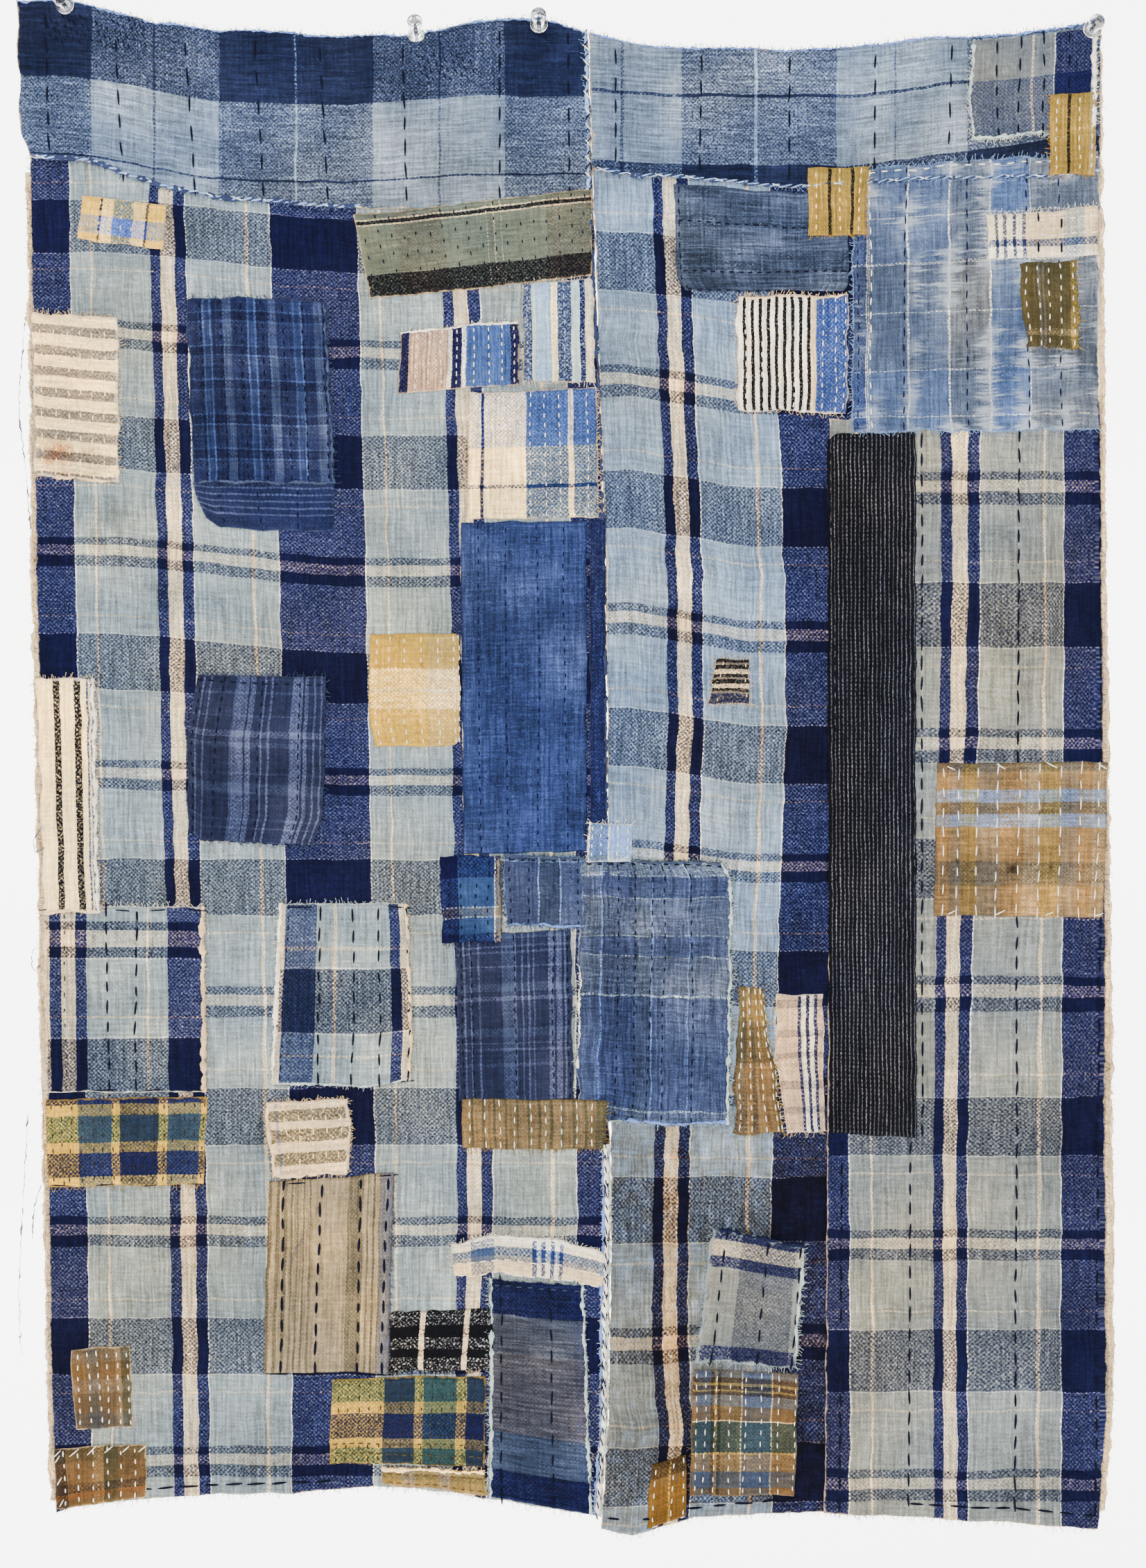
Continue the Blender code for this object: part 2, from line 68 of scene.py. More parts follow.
def linear(hex_text: str) -> tuple[float, float, float, float]:
    """Turns the sRGB hex colour that cloth should show in the studio to its own linear colour.

    The picture's tone curve presses bright tones together, so that they are spread again first,
    and what is left is shared out by the strength of the light on the cloth.

    Args:
        hex_text: six hex digits, such as "D6CCBA".

    Returns:
        The colour as linear red, green, blue and alpha.
    """
    channels = [int(hex_text[i:i + 2], 16) / 255 for i in (0, 2, 4)]
    turned = [c / 12.92 if c <= 0.04045 else ((c + 0.055) / 1.055) ** 2.4 for c in channels]
    spread_out = [min(0.88, c * (1 + 7.1 * c ** 3.65) / STUDIO_LIGHT) for c in turned]
    return (*spread_out, 1.0)


Socket = bpy.types.NodeSocket


class Nodes:
    """Adds nodes to one tree. Each method gives back the new node's output."""

    def __init__(self, tree: bpy.types.NodeTree) -> None:
        """Takes the tree that the nodes go in."""
        self.tree = tree

    def add(self, kind: str, inputs: dict, output: int | str = 0, **settings: object) -> Socket | None:
        """Adds one node with its settings and links.

        Args:
            kind: the node's type name.
            inputs: a socket's name or number, and the output or value that it takes.
            output: which of the node's outputs is wanted.
            settings: the node's own settings.

        Returns:
            The output, or nothing from a node that ends a tree.
        """
        made = self.tree.nodes.new(kind)
        for name, value in settings.items():
            setattr(made, name, value)
        for socket, value in inputs.items():
            if isinstance(value, Socket):
                self.tree.links.new(value, made.inputs[socket])
            else:
                made.inputs[socket].default_value = value
        return made.outputs[output] if made.outputs else None

    def sum(self, operation: str, *values: object, **settings: object) -> Socket:
        """A sum of numbers, such as ADD or MULTIPLY_ADD."""
        return self.add("ShaderNodeMath", dict(enumerate(values)), operation=operation, **settings)

    def vector(self, operation: str, *values: object, output: int = 0) -> Socket:
        """The same for places and colours."""
        return self.add("ShaderNodeVectorMath", dict(enumerate(values)), output, operation=operation)

    def scaled(self, place: Socket, factor: object) -> Socket:
        """A place or colour times one number."""
        return self.add("ShaderNodeVectorMath", {0: place, "Scale": factor}, operation="SCALE")

    def split(self, place: Socket) -> bpy.types.NodeOutputs:
        """The three parts of a place."""
        return self.add("ShaderNodeSeparateXYZ", {0: place}).node.outputs

    def stretched(self, place: Socket, scale: tuple, **more: object) -> Socket:
        """A place on a stretched, turned or shifted grid."""
        return self.add("ShaderNodeMapping", {"Vector": place, "Scale": scale, **more})

    def noise(self, place: Socket, scale: float, detail: float, output: int = 0, flat: bool = True,
              **more: float) -> Socket:
        """Noise over a piece's weave map when flat, and otherwise through space."""
        return self.add("ShaderNodeTexNoise", {"Vector": place, "Scale": scale, "Detail": detail, **more},
                        output, noise_dimensions="2D" if flat else "3D")

    def remap(self, value: Socket, low: float, high: float, start: float = 0.0, end: float = 1.0) -> Socket:
        """A number moved from one range to another and kept within it."""
        return self.add("ShaderNodeMapRange", {0: value, 1: low, 2: high, 3: start, 4: end})

    def mix(self, share: Socket, first: object, second: object, blend: str = "MIX") -> Socket:
        """Two colours mixed by a share of the second."""
        return self.add("ShaderNodeMix", {0: share, 6: first, 7: second}, 2, data_type="RGBA",
                        blend_type=blend)

    def bump(self, height: Socket, strength: float, distance: float) -> Socket:
        """A surface pushed in and out by a height."""
        return self.add("ShaderNodeBump", {"Height": height, "Strength": strength, "Distance": distance})

    def surface(self, **inputs: object) -> None:
        """Ends a material with its shader; an underscore in a name stands for a space."""
        shader = self.add("ShaderNodeBsdfPrincipled",
                          {name.replace("_", " "): value for name, value in inputs.items()})
        self.add("ShaderNodeOutputMaterial", {"Surface": shader})


def new_material(name: str) -> tuple[bpy.types.Material, Nodes]:
    """An empty material and its nodes."""
    material = bpy.data.materials.new(name)
    material.use_nodes = True
    material.node_tree.nodes.clear()
    return material, Nodes(material.node_tree)


def in_scene(name: str, data: bpy.types.ID) -> bpy.types.Object:
    """A new object in the scene, at the origin."""
    made = bpy.data.objects.new(name, data)
    bpy.context.scene.collection.objects.link(made)
    return made


class Dye(Enum):
    """The dyed, faded and undyed yarns of the cloth, as sRGB hex."""

    NAVY = "101242"
    NAVY_DEEP = "0C0D36"
    NAVY_FADED = "2F3966"
    BAND_NAVY = "202848"
    BAND_LIGHT = "919EAD"
    INK = "10142A"
    NIGHT = "22274B"
    INK_BLUE = "2E3351"
    LINE_BLUE = "737A9C"
    INDIGO = "323D6A"
    DENIM = "546083"
    DENIM_DARK = "424D75"
    FADED_INDIGO = "3C4B7F"
    MID_BLUE = "5D78A6"
    IKAT_BLUE = "6D7F9F"
    IKAT_GREY = "727883"
    BRIGHT_BLUE = "4468AA"
    LAPIS = "38539E"
    SKY = "8FA9C9"
    PERIWINKLE = "8C9CC6"
    PALE_BLUE = "A9BBCD"
    HAZE = "A5ACAD"
    HAZE_BLUE = "9AA8B5"
    HAZE_GREEN = "9E9F9A"
    BLUE_GREY = "71798A"
    SLATE = "515D78"
    DARK_SLATE = "3A465E"
    FOG = "8B8F92"
    GREY = "7C7A84"
    IRON = "555763"
    DUSK = "6C656B"
    WHITE = "DAD7D1"
    CREAM = "D4C9B4"
    CREAM_YELLOW = "E6D8BD"
    LINEN = "C6B4A2"
    BUTTER = "D3C160"
    GOLD = "C4AE48"
    OCHRE = "AE984C"
    RUST = "A0602E"
    AMBER = "8A642A"
    OLIVE = "5E5538"
    OLIVE_CREAM = "B8AA84"
    OLIVE_GREY = "7C8272"
    UMBER = "6A5F50"
    KHAKI = "B3A484"
    KHAKI_DARK = "7D6F54"
    TAUPE = "978A7B"
    BROWN = "83623C"
    BARK = "3F322A"
    TOFFEE = "A88957"
    TEAL = "43635F"
    TEAL_DARK = "2B4448"
    BLUE = "3A5588"
    ROYAL = "232F66"
    BLACK = "101016"
    MIST = "C2C8C6"

    def colour(self) -> tuple[float, float, float, float]:
        """The dye's linear colour."""
        return linear(self.value)


D = Dye


def stripes(text: str) -> list[tuple[Dye, float]]:
    """Reads stripes that lie side by side, each written as its dye and its width in mm."""
    words = text.split()
    return [(Dye[dye.upper()], float(width)) for dye, width in zip(words[::2], words[1::2])]


class View:
    """The camera, square on to the cloth, as the photograph was taken."""

    DISTANCE = 1150.0
    AXIS_DOWN = 447.0
    FRAME_HEIGHT = 927.0
    SENSOR = 36.0

    def place(self) -> bpy.types.Object:
        """Makes the camera and sets it as the scene's.

        Returns:
            The camera.
        """
        data = bpy.data.cameras.new("camera")
        data.sensor_fit = "VERTICAL"
        data.sensor_height = self.SENSOR
        data.lens = self.SENSOR * self.DISTANCE / self.FRAME_HEIGHT
        data.clip_start = 0.01
        camera = in_scene("camera", data)
        camera.location = (0.0, -self.DISTANCE * MM, -self.AXIS_DOWN * MM)
        camera.rotation_euler = (math.radians(90), 0.0, 0.0)
        bpy.context.scene.camera = camera
        return camera

    def seen(self, x: Array, z: Array, depth: Array) -> tuple[Array, Array]:
        """Where points show on the plane that the cloth hangs against.

        Args:
            x: places across.
            z: heights.
            depth: distances in front of the plane.

        Returns:
            The places across and the distances down from the top, on the plane.
        """
        spread = self.DISTANCE / (self.DISTANCE - depth)
        return x * spread, self.AXIS_DOWN - (z + self.AXIS_DOWN) * spread


@dataclass(frozen=True)
class Fold:
    """One soft fold that grows from the pins to the hem."""

    top_x: float
    hem_x: float
    left_width: float
    right_width: float
    top_depth: float
    hem_depth: float

    def depth(self, x: Array, fall: Array) -> Array:
        """How far the fold stands forward at places across and shares of the drop."""
        ridge = self.top_x + (self.hem_x - self.top_x) * fall
        width = np.where(x < ridge, self.left_width, self.right_width)
        depth = self.top_depth + (self.hem_depth - self.top_depth) * fall ** 1.6
        return depth * np.exp(-(((x - ridge) / width) ** 2))


@dataclass(frozen=True)
class Ripples:
    """Small creases of hung cotton, as a sum of slow waves in fixed random directions."""

    size: float
    tall: float = 1.0
    seed: int = SEED
    waves: int = 14

    def height(self, x: Array, z: Array) -> Array:
        """Height from about -1 to 1 at each place; tall stretches the creases up and down."""
        chance = np.random.default_rng(self.seed)
        total = np.zeros_like(x)
        for _ in range(self.waves):
            angle = chance.uniform(0, math.pi)
            pace = 2 * math.pi / (self.size * chance.uniform(0.7, 1.6))
            phase = chance.uniform(0, 2 * math.pi)
            total += np.sin(pace * (math.cos(angle) * x + math.sin(angle) * z / self.tall) + phase)
        return total / math.sqrt(self.waves)


class Hanging:
    """The shape that the whole cloth hangs in, the same as the solids have."""

    FOLDS = (
        Fold(-330, -306, 55, 75, 2, 18),
        Fold(-205, -195, 70, 60, 4, 7),
        Fold(12, 22, 105, 75, 3, 38),
        Fold(150, 150, 60, 75, 3, 12),
        Fold(312, 306, 70, 60, 1, 14),
    )
    SWAGS = ((-298.0, -92.0, 10.0), (-92.0, -20.0, 3.0), (-20.0, 304.5, 14.0))
    CLEARANCE = 2.0
    DROP = 870.0
    SWAG_FADE = 130.0

    def depth(self, x: Array, z: Array) -> Array:
        """Distance of the back of the panels in front of the hanging plane.

        Args:
            x: places across.
            z: heights.

        Returns:
            The distances.
        """
        fall = np.clip(-z / self.DROP, 0.0, 1.05)
        depth = self.CLEARANCE + sum(fold.depth(x, fall) for fold in self.FOLDS)
        for left, right, bulge in self.SWAGS:
            across = np.clip((x - left) / (right - left), 0.0, 1.0)
            shape = 16 * (across * (1 - across)) ** 2
            depth = depth + bulge * shape * np.exp(-np.maximum(-z, 0.0) / self.SWAG_FADE)
        return depth

    def creases(self, x: Array, z: Array) -> Array:
        """Small creases that every layer shares, so that no layer comes through the next."""
        slow = Ripples(70, tall=1.8, seed=3).height(x, z)
        quick = Ripples(19, tall=1.3, seed=5).height(x, z)
        return 0.9 * slow + 0.3 * quick


VIEW = View()
HANGING = Hanging()


class Layers:
    """A map of how high the cloth is piled, at 1 mm, over the back of the panels."""

    LEFT = -340
    TOP = 30
    SIZE = (680, 930)

    def __init__(self) -> None:
        """Starts with nothing laid down."""
        self.height = np.zeros(self.SIZE)

    def lay(self, outline: Array, height: float, whole: bool = False) -> None:
        """Raises the map inside an outline by a height, or to it when the whole height is given."""
        x0, z0 = outline.min(0) - 1
        x1, z1 = outline.max(0) + 1
        columns = np.arange(int(max(x0 - self.LEFT, 0)), int(min(x1 - self.LEFT, self.SIZE[0] - 1)))
        rows = np.arange(int(max(self.TOP - z1, 0)), int(min(self.TOP - z0, self.SIZE[1] - 1)))
        x, z = np.meshgrid(columns + self.LEFT + 0.5, self.TOP - rows - 0.5, indexing="ij")
        within = np.zeros(x.shape, bool)
        for (ax, az), (bx, bz) in zip(outline, np.roll(outline, -1, 0)):
            if az == bz:
                continue
            crossing = (az > z) != (bz > z)
            within ^= crossing & (x < (bx - ax) * (z - az) / (bz - az) + ax)
        below = self.height[np.ix_(columns, rows)]
        raised = np.maximum(below, height) if whole else below + height
        self.height[np.ix_(columns, rows)] = np.where(within, raised, below)

    def under(self, x: Array, z: Array) -> Array:
        """How high the layers beneath stand, softened as cloth bridges over an edge."""
        soft = self.height
        for axis in (0, 1):
            for shift in (1, 2):
                soft = (soft + np.roll(soft, shift, axis) + np.roll(soft, -shift, axis)) / 3
        column = np.clip((x - self.LEFT).astype(int), 0, self.SIZE[0] - 1)
        row = np.clip((self.TOP - z).astype(int), 0, self.SIZE[1] - 1)
        return soft[column, row]


class Edge(Enum):
    """How the edge of a piece is finished."""

    TURNED = "turned"
    FRAYED = "frayed"
    CUT = "cut"


@dataclass(frozen=True)
class Spot:
    """A stain in the cloth, at a place on the piece."""

    dye: Dye
    u: float
    v: float
    radius: float
    strength: float = 0.7


@dataclass(frozen=True)
class Weave:
    """Plain-woven cotton of hand-dyed yarn: which threads cross, and how worn they are.

    warp and weft are stripes, as stripes() reads them, and share is how much of the warp shows.
    Real threads are 0.4 mm apart. thread is the drawn pitch in mm, coarser, so that it shows.
    """

    warp: str
    weft: str
    repeat: bool = False
    share: float = 0.62
    grain: float = 0.42
    streak: float = 0.15
    thread: float = 1.25
    twill: bool = False
    wobble: float = 0.5
    ragged: float = 0.0
    fade: float = 0.10
    worn: Dye = Dye.CREAM
    wear: float = 0.9
    flecks: float = 0.0
    spots: tuple[Spot, ...] = ()
    ikat: bool = False

    def material(self, name: str) -> bpy.types.Material:
        """Woven indigo cotton, matt, with slubs along its threads and a worn edge.

        Args:
            name: the material's name.

        Returns:
            The material, which reads the piece's weave map in mm and its distance to the edge.
        """
        material, nodes = new_material(name)
        chart = nodes.add("ShaderNodeUVMap", {}, uv_map="weave")
        place = self.swayed(nodes, chart)
        cross = self.crossing(nodes, place)
        warp, weft, slubs = self.yarns(nodes, place)
        speck = nodes.noise(place, 0.9, 1.0)
        speck = nodes.sum("MULTIPLY_ADD", speck, 2.2 * self.grain, -1.1 * self.grain)
        heather = nodes.noise(nodes.stretched(place, (0.3, 0.75, 1)), 1.0, 3.0)
        heather = nodes.sum("MULTIPLY_ADD", heather, 1.5 * self.grain, -0.75 * self.grain)
        share = nodes.sum("MULTIPLY_ADD", cross, 0.27, self.share)
        share = nodes.sum("ADD", nodes.sum("ADD", share, speck), heather, use_clamp=True)
        cloth = self.faded(nodes, chart, nodes.mix(share, weft, warp))
        if self.flecks:
            cloth = self.flecked(nodes, place, cloth)
        if self.ikat:
            cloth = self.resisted(nodes, place, cloth)
        cloth = nodes.add("ShaderNodeGamma", {"Color": cloth, "Gamma": YARN_MIX})
        for spot in self.spots:
            cloth = self.stained(nodes, chart, cloth, spot)
        cloth = self.edge_worn(nodes, chart, cloth)
        nodes.surface(Base_Color=cloth, Roughness=0.95, Specular_IOR_Level=0.06,
                      Normal=self.relief(nodes, chart, cross, slubs))
        return material

    def swayed(self, nodes: Nodes, chart: Socket) -> Socket:
        """Hand weaving isn't straight: moves the threads a little by slow and by quick noise."""
        reach = 3 * self.wobble
        rough = 0.7 + 2 * self.ragged
        back = -(reach + rough) / 2
        slow = nodes.noise(chart, 0.05, 2.0, output=1)
        place = nodes.vector("MULTIPLY_ADD", slow, (reach, reach, 0), chart)
        quick = nodes.noise(chart, 0.8, 1.0, output=1)
        place = nodes.vector("MULTIPLY_ADD", quick, (rough, rough, 0), place)
        return nodes.vector("ADD", place, (back, back, 0))

    def crossing(self, nodes: Nodes, place: Socket) -> Socket:
        """Which thread is on top, from -1 to 1: squares for plain weave, diagonals for twill."""
        pace = math.pi / self.thread
        if self.twill:
            turned = nodes.stretched(place, (pace, 0.0, 1.0), Location=(0.0, math.pi / 2, 0.0),
                                     Rotation=(0.0, 0.0, math.radians(45)))
        else:
            turned = nodes.stretched(place, (pace, pace, 1.0))
        waves = [nodes.sum("SINE", part) for part in nodes.split(turned)[:2]]
        return nodes.sum("MULTIPLY", *waves)

    def yarns(self, nodes: Nodes, place: Socket) -> tuple[Socket, Socket, Socket]:
        """The warp's and the weft's colour, each with its own slubs along the thread.

        Args:
            nodes: the material's nodes.
            place: the place in the weave, in mm.

        Returns:
            The warp's colour, the weft's colour and the height of their slubs.
        """
        charted = [stripes(self.warp), stripes(self.weft)]
        periods = [sum(width for _, width in stripe) for stripe in charted]
        chart = nodes.stretched(place, (1 / periods[0], 1 / periods[1], 1.0))
        if self.repeat:
            chart = nodes.vector("FRACTION", chart)
        parts = nodes.split(chart)
        reach = self.streak * 3.4 / YARN_MIX
        colours, slubs = [], []
        for axis, stretch in enumerate(((1 / 1.4, 1 / 34, 1), (1 / 26, 1 / 1.4, 1))):
            dyed = nodes.add("ShaderNodeValToRGB", {0: parts[axis]})
            self.fill(dyed.node.color_ramp, charted[axis], periods[axis])
            colour = nodes.add("ShaderNodeGamma", {"Color": dyed, "Gamma": 1 / YARN_MIX})
            slubs.append(nodes.noise(nodes.stretched(place, stretch), 1.0, 3.0, Roughness=0.62))
            shade = nodes.sum("MULTIPLY_ADD", slubs[-1], 4 * reach, 1 - 2 * reach)
            colours.append(nodes.scaled(colour, shade))
        return *colours, nodes.sum("ADD", *slubs)

    @staticmethod
    def fill(ramp: bpy.types.ColorRamp, charted: list[tuple[Dye, float]], period: float) -> None:
        """Sets a colour ramp to the stripes, side by side."""
        ramp.interpolation = "CONSTANT"
        reach = 0.0
        for index, (dye, width) in enumerate(charted):
            stop = ramp.elements[0] if index == 0 else ramp.elements.new(reach / period)
            stop.position = reach / period
            stop.color = dye.colour()
            reach += width
        while len(ramp.elements) > len(charted):
            ramp.elements.remove(ramp.elements[-1])

    def faded(self, nodes: Nodes, chart: Socket, cloth: Socket) -> Socket:
        """Fades and darkens the cloth in broad clouds, as washing and sun do."""
        reach = self.fade * 2.9 / YARN_MIX
        shade = nodes.sum("MULTIPLY_ADD", nodes.noise(chart, 0.022, 4.0), 3 * reach, 1 - 1.5 * reach)
        nap = nodes.noise(chart, 0.33, 4.0, Roughness=0.6)
        shade = nodes.sum("SUBTRACT", nodes.sum("MULTIPLY_ADD", nap, 0.13, shade), 0.065)
        drift = nodes.remap(nodes.noise(chart, 0.011, 3.0), 0.35, 0.65)
        tint = nodes.mix(drift, (0.986, 0.998, 1.012, 1), (1.016, 1.004, 0.978, 1))
        return nodes.vector("MULTIPLY", nodes.scaled(cloth, shade), tint)

    def flecked(self, nodes: Nodes, place: Socket, cloth: Socket) -> Socket:
        """Light nubs of undyed fibre, each a few mm long, across the weft."""
        nubs = nodes.noise(nodes.stretched(place, (0.35, 1.1, 1)), 1.0, 2.0)
        return nodes.mix(nodes.remap(nubs, 0.60, 0.72, 0.0, self.flecks), cloth, (0.76, 0.79, 0.82, 1))

    def resisted(self, nodes: Nodes, place: Socket, cloth: Socket) -> Socket:
        """Ikat marks: pale bars in rows across, with feathered ends where the tied yarn bled."""
        cells = nodes.vector("FRACTION", nodes.stretched(place, (1 / 23, 1 / 9.4, 1)))
        away = nodes.vector("ABSOLUTE", nodes.vector("SUBTRACT", cells, (0.5, 0.5, 0)))
        parts = nodes.split(away)
        bar = nodes.sum("MULTIPLY_ADD", parts[1], 0.6, parts[0])
        bled = nodes.noise(nodes.stretched(place, (0.09, 0.9, 1)), 0.8, 2.0)
        mask = nodes.remap(nodes.sum("MULTIPLY_ADD", bled, -1.1, bar), -0.02, -0.40, 0.0, 0.8)
        zone = nodes.remap(nodes.noise(place, 0.028, 1.0), 0.42, 0.55)
        return nodes.mix(nodes.sum("MULTIPLY", mask, zone), cloth, (0.80, 0.81, 0.82, 1))

    def stained(self, nodes: Nodes, chart: Socket, cloth: Socket, spot: Spot) -> Socket:
        """A stain with an uneven rim."""
        away = nodes.vector("DISTANCE", chart, (spot.u, spot.v, 0), output=1)
        reach = nodes.sum("MULTIPLY_ADD", nodes.noise(chart, 0.13, 3.0), -2.2 * spot.radius, away)
        mask = nodes.remap(reach, -spot.radius, 0.1 * spot.radius, spot.strength, 0.0)
        tint = [min(1.0, c * STUDIO_LIGHT) for c in spot.dye.colour()]
        return nodes.mix(mask, cloth, tint, "MULTIPLY")

    def edge_worn(self, nodes: Nodes, chart: Socket, cloth: Socket) -> Socket:
        """The dye is rubbed off in patches along a sewn edge."""
        edge = nodes.add("ShaderNodeAttribute", {}, 2, attribute_name="edge")
        rubbed = nodes.noise(chart, 0.14, 5.0, Roughness=0.68)
        reach = nodes.sum("MULTIPLY_ADD", rubbed, -3.6 * self.wear, edge)
        mask = nodes.remap(reach, -1.9 * self.wear, -0.9 * self.wear, 0.6, 0.0)
        return nodes.mix(mask, cloth, self.worn.colour())

    def relief(self, nodes: Nodes, chart: Socket, cross: Socket, slubs: Socket) -> Socket:
        """Threads, slubs and fine crumple, as heights in mm."""
        crumple = nodes.noise(chart, 0.055, 6.0, Roughness=0.58, Distortion=0.6)
        high = nodes.sum("MULTIPLY_ADD", cross, 0.12, nodes.sum("MULTIPLY", crumple, 5.2))
        return nodes.bump(nodes.sum("MULTIPLY_ADD", slubs, 0.55, high), 0.8, MM)


@dataclass(frozen=True)
class Stitching:
    """Rows of running stitches on a piece, at places in mm from its left and top edges."""

    thread: Dye
    columns: tuple[float, ...] = ()
    rows: tuple[float, ...] = ()
    pitch: float = 11.0
    length: float = 8.6
    width: float = 0.78
    lean: float = 0.0


@dataclass(frozen=True)
class Roll:
    """A frayed, rolled edge, along one side of a piece: top, bottom, left or right."""

    side: str
    thread: Dye = Dye.WHITE
    radius: float = 1.1
    start: float = 0.0
    end: float = 1.0


@dataclass(frozen=True)
class Look:
    """How one piece looks: its weave, its edges, its stitches and its frayed sides."""

    weave: Weave
    edge: Edge = Edge.TURNED
    stitching: tuple[Stitching, ...] = ()
    rolls: tuple[Roll, ...] = ()
    frays: str = ""
    fibre: Dye = Dye.CREAM


def every(step: float, first: float, last: float) -> tuple[float, ...]:
    """Places from first to last, a step apart."""
    return tuple(np.arange(first, last, step).tolist())


@dataclass
class ThreadLine:
    """A line on the cloth that threads follow, with the size of the threads on it."""

    points: Array
    pitch: float
    length: float
    width: float
    lean: float = 0.0


class Notions:
    """Collects what is sewn on, by colour: stitches, rolled edges, frays and loose threads."""

    def __init__(self) -> None:
        """Starts with empty baskets."""
        self.stitches: dict[Dye, list[ThreadLine]] = defaultdict(list)
        self.rolls: dict[Dye, list[ThreadLine]] = defaultdict(list)
        self.frays: dict[Dye, list[ThreadLine]] = defaultdict(list)

    def stitch(self, dye: Dye, line: Array, pitch: float, length: float, width: float,
               lean: float = 0.0) -> None:
        """Adds a row of stitches on a line."""
        self.stitches[dye].append(ThreadLine(line, pitch, length, width, lean))

    def roll(self, dye: Dye, line: Array, radius: float) -> None:
        """Adds a rolled edge, or a loose thread, on a line."""
        self.rolls[dye].append(ThreadLine(line, 1.0, 0.0, radius))

    def fray(self, dye: Dye, line: Array, pitch: float, length: float, width: float,
             lean: float) -> None:
        """Adds frayed ends on a line, which point the way that lean gives in degrees."""
        self.frays[dye].append(ThreadLine(line, pitch, length, width, lean))


class Outline:
    """The outline of a cut piece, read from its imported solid."""

    FRONT = -0.3

    def __init__(self, node: str) -> None:
        """Reads the longest rim of the node's front.

        Args:
            node: the name of the solid.
        """
        bm = bmesh.new()
        bm.from_mesh(frame["nodes"][node].data)
        bmesh.ops.remove_doubles(bm, verts=bm.verts, dist=2e-5)
        bm.normal_update()
        beside: dict[int, list[int]] = {}
        for edge in bm.edges:
            if sum(face.normal.y < self.FRONT for face in edge.link_faces) == 1:
                a, b = (vert.index for vert in edge.verts)
                beside.setdefault(a, []).append(b)
                beside.setdefault(b, []).append(a)
        bm.verts.ensure_lookup_table()
        loops = []
        while beside:
            at = next(iter(beside))
            loop = []
            while at in beside:
                loop.append((bm.verts[at].co.x / MM, bm.verts[at].co.z / MM))
                ahead = [other for other in beside.pop(at) if other in beside]
                at = ahead[0] if ahead else -1
            loops.append(np.array(loop))
        bm.free()
        rim = max(loops, key=lambda loop: np.ptp(loop, 0).sum())
        self.points = self.turned(self.corners_only(rim))
        x, z = self.points.T
        places = [int(np.argmax(score)) for score in (z - x, x + z, x - z, -x - z)]
        self.sides = self.cut(places)

    @staticmethod
    def corners_only(rim: Array) -> Array:
        """Leaves out the points that lie on a straight run."""
        before, after = np.roll(rim, 1, 0), np.roll(rim, -1, 0)
        along = after - before
        across = rim - before
        off = np.abs(along[:, 0] * across[:, 1] - along[:, 1] * across[:, 0])
        return rim[off > 0.03 * np.maximum(np.hypot(*along.T), 1e-6)]

    @staticmethod
    def turned(rim: Array) -> Array:
        """Runs the outline clockwise, as it is seen from the front."""
        x, z = rim.T
        area = np.sum(x * np.roll(z, -1) - np.roll(x, -1) * z)
        return rim[::-1] if area > 0 else rim

    def cut(self, places: list[int]) -> dict[str, Array]:
        """Cuts the outline at its four corners into top, right, bottom and left.

        Args:
            places: where the top left, top right, bottom right and bottom left corners are.

        Returns:
            Each side's points, from left to right and from the top down.
        """
        runs = []
        for start, end in zip(places, places[1:] + places[:1]):
            count = (end - start) % len(self.points)
            runs.append(self.points[[(start + i) % len(self.points) for i in range(count + 1)]])
        return {"top": runs[0], "right": runs[1], "bottom": runs[2][::-1], "left": runs[3][::-1]}


def along(curve: Array, share: Array) -> Array:
    """Points at shares of a line's length.

    Args:
        curve: the line's points.
        share: shares of the length, from 0 to 1.

    Returns:
        One point for each share.
    """
    reach = np.concatenate([[0.0], np.cumsum(np.hypot(*np.diff(curve, axis=0).T[:2]))])
    places = share * reach[-1]
    return np.stack([np.interp(places, reach, curve[:, i]) for i in range(curve.shape[1])], -1)


def run_length(curve: Array) -> float:
    """Length of a line of points."""
    return float(np.linalg.norm(np.diff(curve, axis=0), axis=1).sum())


def spread(length: float, step: float) -> Array:
    """Shares of a length for the lines of a grid, closer together near both ends."""
    if length < 14:
        return np.linspace(0, 1, max(5, int(length / 1.2)))
    rim = np.array([0.0, 0.35, 0.9, 1.6, 2.5])
    middle = np.linspace(3.6, length - 3.6, max(3, int((length - 7.2) / step) + 1))
    return np.concatenate([rim, middle, length - rim[::-1]]) / length


